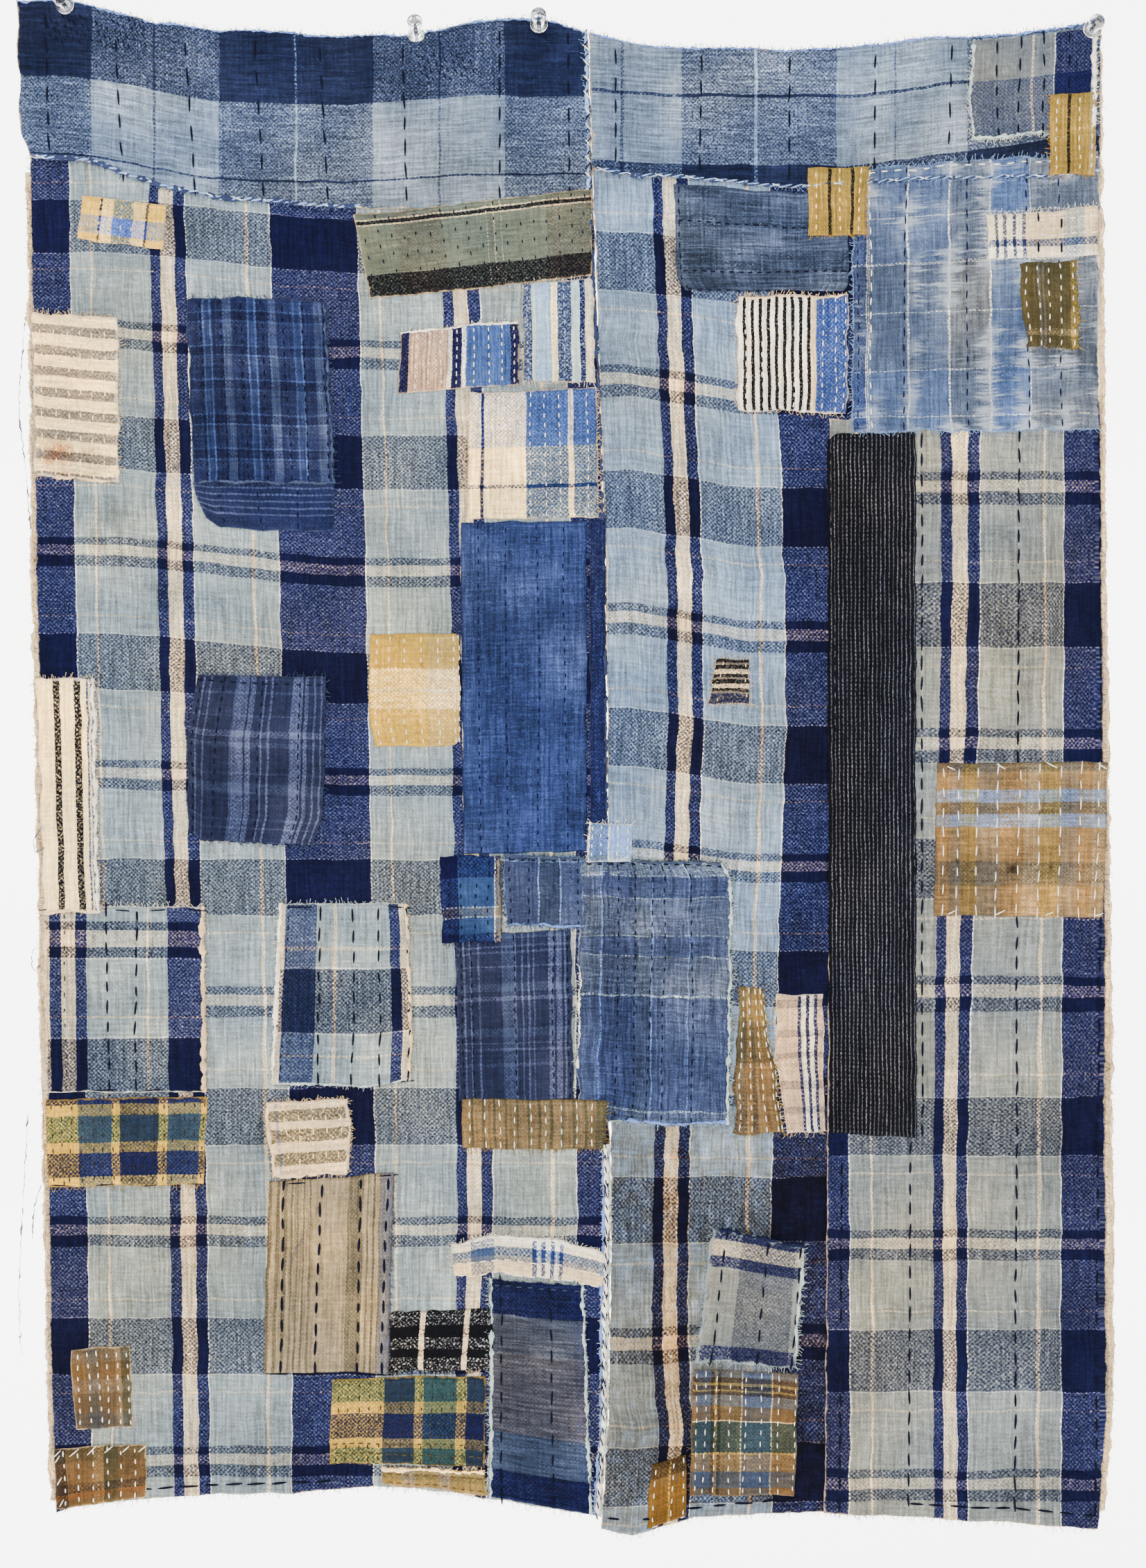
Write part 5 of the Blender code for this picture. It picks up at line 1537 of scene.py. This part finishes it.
class StitchTree(ThreadTree):
    """Running stitches: each is a short plump thread that dips into the cloth."""

    NAME = "running_stitches"
    SIZES = ("Thread plumpness", "End dip")

    def grow(self, curve: Socket, first: Socket, second: Socket) -> Socket:
        """A thread at each point a pitch apart, turned along the line."""
        points = self.apart(curve, self.read("pitch"))
        ball = self.add("GeometryNodeMeshUVSphere", {"Segments": 6, "Rings": 5, "Radius": 0.5})
        laid = self.add("GeometryNodeTransform", {"Geometry": ball, "Rotation": (0, math.radians(90), 0)})
        along_it = self.split(self.add("GeometryNodeInputPosition", {}))[0]
        dip = self.sum("MULTIPLY", self.sum("MULTIPLY", along_it, along_it), second)
        arched = self.moved(laid, self.add("ShaderNodeCombineXYZ", {2: dip}))
        tangent = self.add("GeometryNodeInputTangent", {})
        turn = self.add("FunctionNodeAlignRotationToVector", {"Vector": tangent}, axis="X")
        turn = self.add("FunctionNodeAlignRotationToVector", {"Rotation": turn, "Vector": (0, -1, 0)},
                        axis="Z", pivot_axis="X")
        slant = self.sum("ADD", self.read("lean"), self.random(-0.09, 0.09, 11))
        width = self.read("width")
        long = self.sum("MULTIPLY", self.read("length"), self.random(0.82, 1.18, 12))
        return self.placed(points, arched, self.swung(turn, (0, 0, 1), slant),
                           (long, width, self.sum("MULTIPLY", width, first)))


class RollTree(ThreadTree):
    """A bumpy rolled edge or a loose thread: a tube along lines, lumpy as teased cotton is."""

    NAME = "rolled_edges"
    SIZES = ("Step", "Lumps")

    def grow(self, curve: Socket, first: Socket, second: Socket) -> Socket:
        """A tube of uneven width, and lumps pushed in and out of its surface."""
        place = self.add("GeometryNodeInputPosition", {})
        teased = self.remap(self.noise(place, 170.0, 2.0, flat=False), 0.35, 0.65, 0.25, 1.45)
        radius = self.sum("MULTIPLY", self.read("width"), teased)
        tube = self.tube(self.apart(curve, first), 7, 1.0)
        if "Scale" in tube.node.inputs:
            self.tree.links.new(radius, tube.node.inputs["Scale"])
        lumps = self.noise(place, 420.0, 1.0, output=1, flat=False)
        return self.moved(tube, self.scaled(self.vector("SUBTRACT", lumps, (0.5, 0.5, 0.5)), second))


class FrayTree(ThreadTree):
    """Frayed ends: bent hairs that fan out from an edge."""

    NAME = "frayed_ends"
    SIZES = ("Bend", "Fan")

    def grow(self, curve: Socket, first: Socket, second: Socket) -> Socket:
        """A hair at each point a pitch apart, turned outwards and a little forward."""
        points = self.apart(curve, self.read("pitch"))
        bow = self.add("ShaderNodeCombineXYZ", {0: 0.55, 1: first})
        line = self.add("GeometryNodeCurvePrimitiveBezierSegment", {
            "Resolution": 4, "Start": (0, 0, 0), "Start Handle": bow, "End Handle": (0.6, 0.1, 0),
            "End": (1, 0, 0)})
        hair = self.tube(line, 3, 0.06)
        fan = self.random(self.sum("MULTIPLY", second, -1.0), second, 21)
        flat = self.sum("MULTIPLY", self.sum("ADD", self.read("lean"), fan), -1.0)
        turn = self.add("FunctionNodeEulerToRotation", {0: self.add("ShaderNodeCombineXYZ", {1: flat})})
        reach = self.sum("MULTIPLY", self.read("length"), self.random(0.35, 1.35, 23))
        thick = self.sum("MULTIPLY", self.read("width"), 16.0)
        turn = self.swung(turn, (0, 0, -1), self.random(-0.1, 0.5, 22))
        return self.placed(points, hair, turn, (reach, thick, thick))


@dataclass(frozen=True)
class SewingThread:
    """Twisted cotton thread: matt, with the light and dark of its plies."""

    dye: Dye
    fuzz: float = 0.25

    def material(self, name: str) -> bpy.types.Material:
        """Makes the thread's material.

        Args:
            name: the material's name.

        Returns:
            The material. Its plies are drawn 0.8 mm apart, coarser than real, so that they show.
        """
        material, nodes = new_material(name)
        place = nodes.add("ShaderNodeTexCoord", {}, "Object")
        plies = nodes.noise(place, 1250.0, 2.0, flat=False)
        tone = nodes.sum("ADD", plies, nodes.noise(place, 90.0, 1.0, flat=False))
        tone = nodes.remap(tone, 0.6, 1.4, 1 - self.fuzz, 1 + self.fuzz)
        nodes.surface(Base_Color=nodes.scaled(self.dye.colour()[:3], tone), Roughness=0.92,
                      Specular_IOR_Level=0.06, Normal=nodes.bump(plies, 0.6, 0.0004))
        return material


class Haberdashery:
    """Turns the baskets of lines into stitches, rolled edges, frays and loose threads."""

    SLOTS = {
        "dark_indigo": (D.INK, D.NAVY, D.NIGHT),
        "mid_indigo": (D.DENIM, D.DENIM_DARK, D.PALE_BLUE, D.SKY, D.SLATE),
        "ochre_cotton": (D.GOLD, D.OCHRE),
        "olive_cotton": (D.OLIVE, D.OLIVE_CREAM),
        "brown_cotton": (D.BARK, D.BROWN, D.TAUPE),
        "near_black": (D.BLACK,),
        "grey_cotton": (D.GREY,),
    }

    @staticmethod
    def lines_object(name: str, lines: list[ThreadLine]) -> bpy.types.Object:
        """A mesh of bare edges along the lines, which carries the size of the threads on them.

        Args:
            name: the object's name.
            lines: the lines, in mm.

        Returns:
            The object.
        """
        points, edges, kept = [], [], {"pitch": [], "length": [], "width": [], "lean": []}
        for line in lines:
            start = len(points)
            points += (line.points * MM).tolist()
            edges += [(start + i, start + i + 1) for i in range(len(line.points) - 1)]
            values = (line.pitch * MM, line.length * MM, line.width * MM, math.radians(line.lean))
            for key, value in zip(kept, values):
                kept[key] += [value] * len(line.points)
        mesh = bpy.data.meshes.new(name)
        mesh.from_pydata(points, edges, [])
        for key, values in kept.items():
            mesh.attributes.new(key, "FLOAT", "POINT").data.foreach_set("value", values)
        return in_scene(name, mesh)

    def grown(self, name: str, dye: Dye, lines: list[ThreadLine], tree: ThreadTree,
              inputs: tuple) -> bpy.types.Object:
        """Grows a tree's threads on lines and keeps them as a plain mesh on the part.

        Args:
            name: the piece's name.
            dye: the thread's dye.
            lines: the lines that the threads follow.
            tree: the built tree.
            inputs: the tree's two sizes and the thread's material.

        Returns:
            The piece.
        """
        source = self.lines_object(name + "_lines", lines)
        modifier = source.modifiers.new("threads", "NODES")
        modifier.node_group = tree.tree
        for socket, value in zip(tree.sockets[1:], inputs):
            modifier[socket] = value
        bpy.context.view_layer.update()
        seen = source.evaluated_get(bpy.context.evaluated_depsgraph_get())
        mesh = bpy.data.meshes.new_from_object(seen)
        mesh.name = name
        bpy.data.objects.remove(source)
        piece = in_scene(name, mesh)
        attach(piece, "root")
        slots = [slot for slot, dyes in self.SLOTS.items() if dye in dyes]
        slots[0] if slots else "cream_cotton"
        return piece

    def make(self, notions: Notions) -> None:
        """Makes one piece for each kind of thread and colour.

        Args:
            notions: the baskets that the cloth pieces filled.
        """
        kinds = (("stitches_", "_cotton", notions.stitches, StitchTree(), 0.25, (0.75, -1.1)),
                 ("rolled_edge_", "_cotton", notions.rolls, RollTree(), 0.4, (0.0011, 0.0030)),
                 ("frays_", "_fibre", notions.frays, FrayTree(), 0.3, (0.45, 1.1)))
        for start, end, basket, tree, fuzz, sizes in kinds:
            for dye, lines in basket.items():
                name = start + dye.name.lower()
                thread = SewingThread(dye, fuzz).material(name + end)
                piece = self.grown(name, dye, lines, tree, (*sizes, thread))
                LOG.info("%s: %d lines, %d faces", name, len(lines), len(piece.data.polygons))


@dataclass
class PanelWork:
    """Everything sewn on the panels that isn't on a patch: darning, seams and loose threads."""

    pieces: dict[str, ClothPiece]
    notions: Notions

    def line(self, piece: str, points: tuple[tuple[float, float], ...], lift: float = 0.15) -> Array:
        """A line on the front of a piece through points given as x and z.

        Args:
            piece: the piece's name.
            points: the points that the line passes through.
            lift: how far in front of the cloth.

        Returns:
            The line's points, about 4 mm apart.
        """
        bare = np.array(points, float)
        dense = along(bare, np.linspace(0, 1, max(4, int(run_length(bare) / 4))))
        cloth = self.pieces[piece]
        u, v = cloth.locate(dense[:, 0], dense[:, 1])
        return cloth.on_front(u, v, lift)

    def sew(self) -> None:
        """Adds the darning rows, the seams, the frayed selvages and the loose threads."""
        self.band_rows()
        self.right_rows()
        self.centre_seam()
        self.band_edges()
        self.selvages()
        self.loose_threads()

    def band_rows(self) -> None:
        """Upright rows of dark running stitches on the two bands, and darned clusters."""
        rows = {"band_left": ((-310, 8, -308, -76), (-268, -8, -264, -100), (-226, -12, -221, -104),
                              (-185, -14, -181, -106), (-148, -14, -144, -106), (-100, -12, -98, -106),
                              (-43, -3, -43, -106), (-3, -2, -2, -106)),
                "band_right": ((25, -16, 25, -84), (75, -20, 74, -90), (126, -23, 126, -96),
                               (176, -20, 176, -92), (221, -14, 220, -90))}
        short = 6
        for band, lines in rows.items():
            for x0, z0, x1, z1 in lines:
                points = self.line(band, ((x0, z0 - short), (x1, z1 + short)))
                self.notions.stitch(D.INK, points, 13.6, 10.6, 1.35)
        for x, z, count in ((-280, 0, 9), (-92, -18, 10), (-310, 4, 8)):
            for k in range(count):
                start = (x + 3.4 * k, z - 2 * (k % 3))
                points = self.line("band_left", (start, (start[0] + 3, start[1] - 11)))
                self.notions.stitch(D.INK, points, 4.4, 3.4, 0.9, 12)

    def right_rows(self) -> None:
        """Long dark rows down the right panel, beside the pinstripe and along the hems."""
        rows = (((262, -242), (261, -432)), ((260, -528), (258, -868)), ((197.5, -660), (196, -866)),
                ((157, -660), (155, -866)), ((309, -245), (309.5, -430)), ((308.5, -528), (303.5, -868)),
                ((204.5, -245), (204.5, -650)))
        for ends in rows:
            self.notions.stitch(D.INK, self.line("right_panel", ends), 11.8, 9.4, 1.45)
        hems = (("left_panel", ((-250, -857), (-146, -856))), ("right_panel", ((200, -868), (300, -872))),
                ("middle_panel", ((24, -866), (42, -867))), ("middle_panel", ((70, -864), (128, -863))))
        for piece, ends in hems:
            self.notions.stitch(D.INK, self.line(piece, ends), 12.0, 10.4, 1.4)

    def centre_seam(self) -> None:
        """The centre seam's raised selvage, which is white and frayed low down. Higher up it is a dark indigo
        roll, coloured dark to paint the shadow along the seam as well as the selvage.
        """
        seam = ((10.2, -112), (12.4, -160), (15.2, -213), (18.4, -333), (19.3, -455), (20.3, -575),
                (21.2, -640))
        low = ((20.6, -655), (21.4, -695), (19.6, -760), (19.4, -812), (15.6, -866))
        sewn = self.notions
        # painted shadow: this dark indigo roll on the upper seam stands for the rolled selvage and for the
        # shadow along it
        sewn.roll(D.DENIM_DARK, self.line("left_panel", seam, 0.2), 1.0)
        sewn.fray(D.HAZE, self.line("left_panel", seam, 0.6), 3.2, 2.4, 0.13, 20)
        for shift, radius, dye in ((-1.8, 1.3, D.WHITE), (0.2, 0.9, D.MIST), (-3.6, 0.8, D.SKY)):
            line = self.line("left_panel", tuple((x + shift, z) for x, z in low), 0.5)
            sewn.roll(dye, line, radius)
            sewn.fray(D.WHITE, line - (0, 0.8, 0), 2.2, 1.9, 0.15, 40 * shift)
        whipped = self.line("left_panel", tuple((x - 2, z) for x, z in low), 2.2)
        sewn.stitch(D.NAVY, whipped, 7.0, 4.6, 0.9, 16)

    def band_edges(self) -> None:
        """The bands' whipped lower edges, their frayed tops and the open end between them. The lower edges
        are rolled in dark indigo, which also paints the shadow between and under the pale whip stitches.
        """
        sewn = self.notions
        for piece, reach, radius in (("band_left", 0.585, 1.3), ("band_right", 0.99, 0.9)):
            cloth = self.pieces[piece]
            edge = cloth.side_line("bottom", 0.02, reach, 0.6)
            # painted shadow: the dark indigo roll stands for the rolled edge and for the shadow between and
            # under its pale whip stitches
            sewn.roll(D.DENIM_DARK, edge, radius)
            sewn.fray(D.PALE_BLUE, edge - (0, 0.5, 0), 1.8, 3.0, 0.15, -80)
            sewn.fray(D.NAVY, edge, 2.6, 3.4, 0.15, -100)
            sewn.stitch(D.PALE_BLUE, edge - (0, 0.9, 0), 6.3, 7.6, 1.1 * radius, 15)
            sewn.stitch(D.WHITE, edge - (0, 0.9, 0), 17.0, 7.0, 0.8 * radius, -12)
            top = cloth.side_line("top", 0.0, 1.0, 0.7)
            for dye, pitch, length, lean in ((D.DENIM, 1.6, 2.6, 90), (D.PALE_BLUE, 2.3, 2.4, 100),
                                             (D.INK, 4.1, 2.8, 75)):
                sewn.fray(dye, top, pitch, length, 0.17, lean)
            sewn.roll(D.SKY, top - (0, 0.3, 0), 0.5)
        end = self.pieces["band_left"].side_line("right", 0.0, 0.9, 1.4)
        sewn.stitch(D.WHITE, end - (0, 0.6, 0), 9.0, 5.4, 1.0, 40)
        sewn.stitch(D.NAVY, end - (0, 0.5, 0), 7.0, 4.6, 1.1, -35)
        sewn.roll(D.PALE_BLUE, end, 0.9)
        for lean in (10, 150):
            sewn.fray(D.PALE_BLUE, end - (0, 0.4, 0), 1.9, 3.4, 0.17, lean)

    def selvages(self) -> None:
        """Frayed ends along the rims, and nubby cream backing along both sides."""
        rims = (("left_panel", "left"), ("right_panel", "right"), ("left_panel", "bottom"),
                ("middle_panel", "bottom"), ("right_panel", "bottom"))
        for piece, side in rims:
            edge = self.pieces[piece].side_line(side, 0.02, 0.99, 0.6)
            self.notions.fray(D.NAVY, edge, 3.4, 3.2, 0.16, ClothPiece.OUTWARD[side])
            self.notions.fray(D.MIST, edge, 2.9, 2.6, 0.16, ClothPiece.OUTWARD[side])
        for piece, side in (("backing_left", "left"), ("backing_right", "right")):
            edge = self.pieces[piece].side_line(side, 0.01, 0.99, 0.9)
            self.notions.roll(D.CREAM, edge, 0.9)
            self.notions.fray(D.CREAM, edge, 2.4, 2.4, 0.16, ClothPiece.OUTWARD[side])

    def loose_threads(self) -> None:
        """The long threads that have come loose at the edges and bow out from the cloth."""
        loose = (((-318, -640), (-320, -690), (-322.5, -745), (-321, -780)),
                 ((-321.5, -172), (-324, -200), (-325, -230), (-321, -262), (-318, -300)),
                 ((-312, -540), (-316, -546), (-315, -556), (-311, -553)),
                 ((-310, -470), (-315, -480), (-314, -488), (-309, -484)),
                 ((-308, -676), (-313, -690), (-315, -712)),
                 ((64, -420), (69, -428), (66, -436)),
                 ((-158, -712), (-163, -722), (-168, -736)))
        for points in loose:
            x, z = along(np.array(points, float), np.linspace(0, 1, 24)).T
            y = -(HANGING.depth(x, z) + 1.2 + 1.4 * np.sin(np.linspace(0, math.pi, 24)))
            self.notions.roll(D.GREY, np.stack([x, y, z], -1), 0.24)


class ClearPlastic:
    """Clear moulded polystyrene: glossy, faintly grey, with fine scuffs from handling."""

    def material(self) -> bpy.types.Material:
        """Makes the plastic's material."""
        material, nodes = new_material("clear_polystyrene")
        scuffs = nodes.noise(nodes.add("ShaderNodeTexCoord", {}, "Object"), 900.0, 3.0, flat=False)
        nodes.surface(Base_Color=linear("EEF2F2"), Roughness=nodes.remap(scuffs, 0.4, 0.7, 0.04, 0.16),
                      IOR=1.57, Transmission_Weight=1.0, Normal=nodes.bump(scuffs, 0.08, 0.0002))
        return material


class NeedleSteel:
    """Drawn and plated steel wire: bright, with fine lines along it."""

    def material(self) -> bpy.types.Material:
        """Makes the steel's material."""
        material, nodes = new_material("plated_steel")
        fine = nodes.stretched(nodes.add("ShaderNodeTexCoord", {}, "Object"), (4000, 250, 4000))
        rough = nodes.remap(nodes.noise(fine, 1.0, 2.0, flat=False), 0.3, 0.7, 0.18, 0.38)
        nodes.surface(Base_Color=linear("C4C6C8"), Metallic=1.0, Roughness=rough)
        return material


@dataclass
class PushPin:
    """A clear push pin: a moulded head with a flange and a waist, on a steel needle."""

    name: str
    x: float
    z: float
    lean: float
    profile: tuple[tuple[float, float], ...] = (
        (0.0, 4.6), (0.15, 5.1), (0.6, 5.2), (1.0, 5.1), (1.25, 4.6), (1.9, 3.5), (2.8, 3.0), (5.0, 2.75),
        (7.0, 2.8), (8.2, 3.4), (9.0, 4.15), (10.2, 4.45), (12.0, 4.5), (12.7, 4.3), (13.0, 3.8), (13.0, 0.0))
    needle_radius: float = 0.58
    needle_inside: float = 9.5
    needle_taper: float = 2.0
    sides: int = 32

    def turned(self, profile: tuple[tuple[float, float], ...]) -> tuple[list, list]:
        """Turns a profile of (distance forwards, radius) about the needle's axis.

        Args:
            profile: the profile from the back forwards; a radius of 0 closes an end.

        Returns:
            Points and faces.
        """
        points, rings, faces = [], [], []
        for forward, radius in profile:
            ring = []
            for k in range(self.sides if radius else 1):
                angle = 2 * math.pi * k / self.sides
                ring.append(len(points))
                points.append((radius * math.cos(angle), -forward, radius * math.sin(angle)))
            rings.append(ring)
        for near, far in zip(rings, rings[1:]):
            for k in range(self.sides):
                corners = [near[k % len(near)], near[(k + 1) % len(near)], far[(k + 1) % len(far)],
                           far[k % len(far)]]
                faces.append(list(dict.fromkeys(corners)))
        return points, faces

    def build(self) -> bpy.types.Object:
        """Makes the pin where its solid is.

        Returns:
            The pin, riding on the part.
        """
        axis = Vector((0, -math.cos(math.radians(self.lean)), math.sin(math.radians(self.lean))))
        pierced = Vector((self.x, -float(HANGING.depth(np.array(self.x), np.array(self.z))), self.z))
        reach = [(vertex.co / MM - pierced).dot(axis) for vertex in frame["nodes"][self.name].data.vertices]
        seat = max(reach) - self.profile[-1][0]
        head = ((seat, 0.0),) + tuple((seat + forward, radius) for forward, radius in self.profile)
        inside = seat + self.needle_inside
        needle = ((min(reach), 0.0), (min(reach) + self.needle_taper, self.needle_radius),
                  (inside, self.needle_radius), (inside + 0.3, 0.0))
        points, faces = self.turned(head)
        plastic_faces = len(faces)
        more, others = self.turned(needle)
        faces += [[corner + len(points) for corner in face] for face in others]
        mesh = bpy.data.meshes.new(self.name + "_clear")
        mesh.from_pydata(points + more, [], faces)
        mesh.materials.append(ClearPlastic().material())
        mesh.materials.append(NeedleSteel().material())
        for number, polygon in enumerate(mesh.polygons):
            polygon.use_smooth = True
            polygon.material_index = 0 if number < plastic_faces else 1
        place = Matrix.Translation(pierced) @ Matrix.Rotation(math.radians(-self.lean), 4, "X")
        mesh.transform(Matrix.Scale(MM, 4) @ place)
        bm = bmesh.new()
        bm.from_mesh(mesh)
        bmesh.ops.recalc_face_normals(bm, faces=bm.faces)
        bm.to_mesh(mesh)
        bm.free()
        mesh.set_sharp_from_angle(angle=math.radians(50))
        piece = in_scene(self.name + "_clear", mesh)
        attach(piece, "root")
        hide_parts(self.name)
        return piece


class Studio:
    """A pale floor and backdrop in one curved sheet, with soft lights above and in front."""

    BACK_Y = 3.0
    FLOOR_Z = -1.25
    HALF_WIDTH = 4.5
    TOP_Z = 4.0
    FRONT_Y = -4.5
    BEND = 0.8

    def build(self) -> None:
        """Makes the backdrop, the lights and the sky's soft fill."""
        self.sweep()
        self.lamp("key_light", (-0.85, -1.5, 0.9), 1.0, 78.0)
        self.lamp("fill_light", (1.15, -1.9, -0.25), 1.6, 17.0)
        self.lamp("top_light", (0.0, -0.75, 1.05), 1.0, 15.0)
        world = bpy.data.worlds.new("studio")
        world.use_nodes = True
        world.node_tree.nodes.clear()
        nodes = Nodes(world.node_tree)
        sky = nodes.add("ShaderNodeBackground", {"Color": (0.92, 0.95, 1.0, 1.0), "Strength": 0.5})
        nodes.add("ShaderNodeOutputWorld", {"Surface": sky})
        bpy.context.scene.world = world

    def sweep(self) -> None:
        """The backdrop well behind the cloth, so that its back can be seen, curved into the floor."""
        angles = [math.radians(a) for a in range(0, 91, 10)]
        line = [(self.BACK_Y, self.TOP_Z)]
        line += [(self.BACK_Y - self.BEND * (1 - math.cos(a)), self.FLOOR_Z + self.BEND * (1 - math.sin(a)))
                 for a in angles]
        line += [(self.FRONT_Y, self.FLOOR_Z)]
        points = [(x, y, z) for y, z in line for x in (-self.HALF_WIDTH, self.HALF_WIDTH)]
        faces = [(2 * i, 2 * i + 1, 2 * i + 3, 2 * i + 2) for i in range(len(line) - 1)]
        mesh = bpy.data.meshes.new("backdrop")
        mesh.from_pydata(points, [], faces)
        for polygon in mesh.polygons:
            polygon.use_smooth = True
        material, nodes = new_material("pale_paper")
        nodes.surface(Base_Color=linear("F3F2F0"), Roughness=0.95, Specular_IOR_Level=0.1,
                      Emission_Color=(1.0, 0.99, 0.97, 1.0), Emission_Strength=4.6)
        mesh.materials.append(material)
        in_scene("backdrop", mesh)

    def lamp(self, name: str, place: tuple[float, float, float], size: float, power: float) -> None:
        """One square soft light that faces the middle of the cloth."""
        data = bpy.data.lights.new(name, "AREA")
        data.size = size
        data.energy = power
        lamp = in_scene(name, data)
        lamp.location = place
        aim = Vector((0, 0, -VIEW.AXIS_DOWN * MM)) - Vector(place)
        lamp.rotation_euler = aim.to_track_quat("-Z", "Y").to_euler()


def main() -> None:
    """Builds the camera, the studio, every cloth piece from the back forwards, and the pins."""
    logging.basicConfig(level=logging.INFO, format="%(name)s: %(message)s")
    VIEW.place()
    Studio().build()
    layers, notions, done = Layers(), Notions(), {}
    pins = ("pin_left", "pin_middle_left", "pin_middle", "pin_right")
    backing = Look(BACKING, edge=Edge.FRAYED)
    cloths = [
        Panel("backing_left", backing, -1.4, 1.1, ("left_panel",)),
        Panel("backing_right", backing, 0.0, 1.3, ("right_panel",)),
        LeftPanel("left_panel", Look(LEFT_PLAID, edge=Edge.CUT), 0.0, 1.4, pins[:3]),
        MiddlePanel("middle_panel", Look(MIDDLE_PLAID, edge=Edge.CUT), 0.0, 1.4, pins[3:]),
        RightPanel("right_panel", Look(RIGHT_PLAID, edge=Edge.CUT), 1.7, 1.1, ("middle_panel", "pin_right")),
        LeftBand("band_left", Look(LEFT_BAND_WEAVE), 1.5, 1.2, pins[:3]),
        RightBand("band_right", Look(RIGHT_BAND_WEAVE), 1.5, 1.2, pins[3:]),
    ]
    layer = {**dict.fromkeys(SECOND, 2), **dict.fromkeys(THIRD, 3)}
    upwards = sorted(PATCHES, key=lambda name: layer.get(name, 1))
    cloths += [ClothPiece(name, PATCHES[name]) for name in upwards]
    for cloth in cloths:
        done[cloth.name] = cloth
        piece = cloth.build(layers, notions)
        LOG.info("%s: %.0f x %.0f mm, %d faces", piece.name, cloth.width, cloth.height,
                 len(piece.data.polygons))
    PanelWork(done, notions).sew()
    Haberdashery().make(notions)
    for name, x, z, lean in (("pin_left", -298, 10, 0), ("pin_middle_left", -92, -9, 18),
                             ("pin_middle", -20, -2, 6), ("pin_right", 304.5, -4, 0)):
        LOG.info("%s: made", PushPin(name, x, z, lean).build().name)


if __name__ == "__main__":
    main()
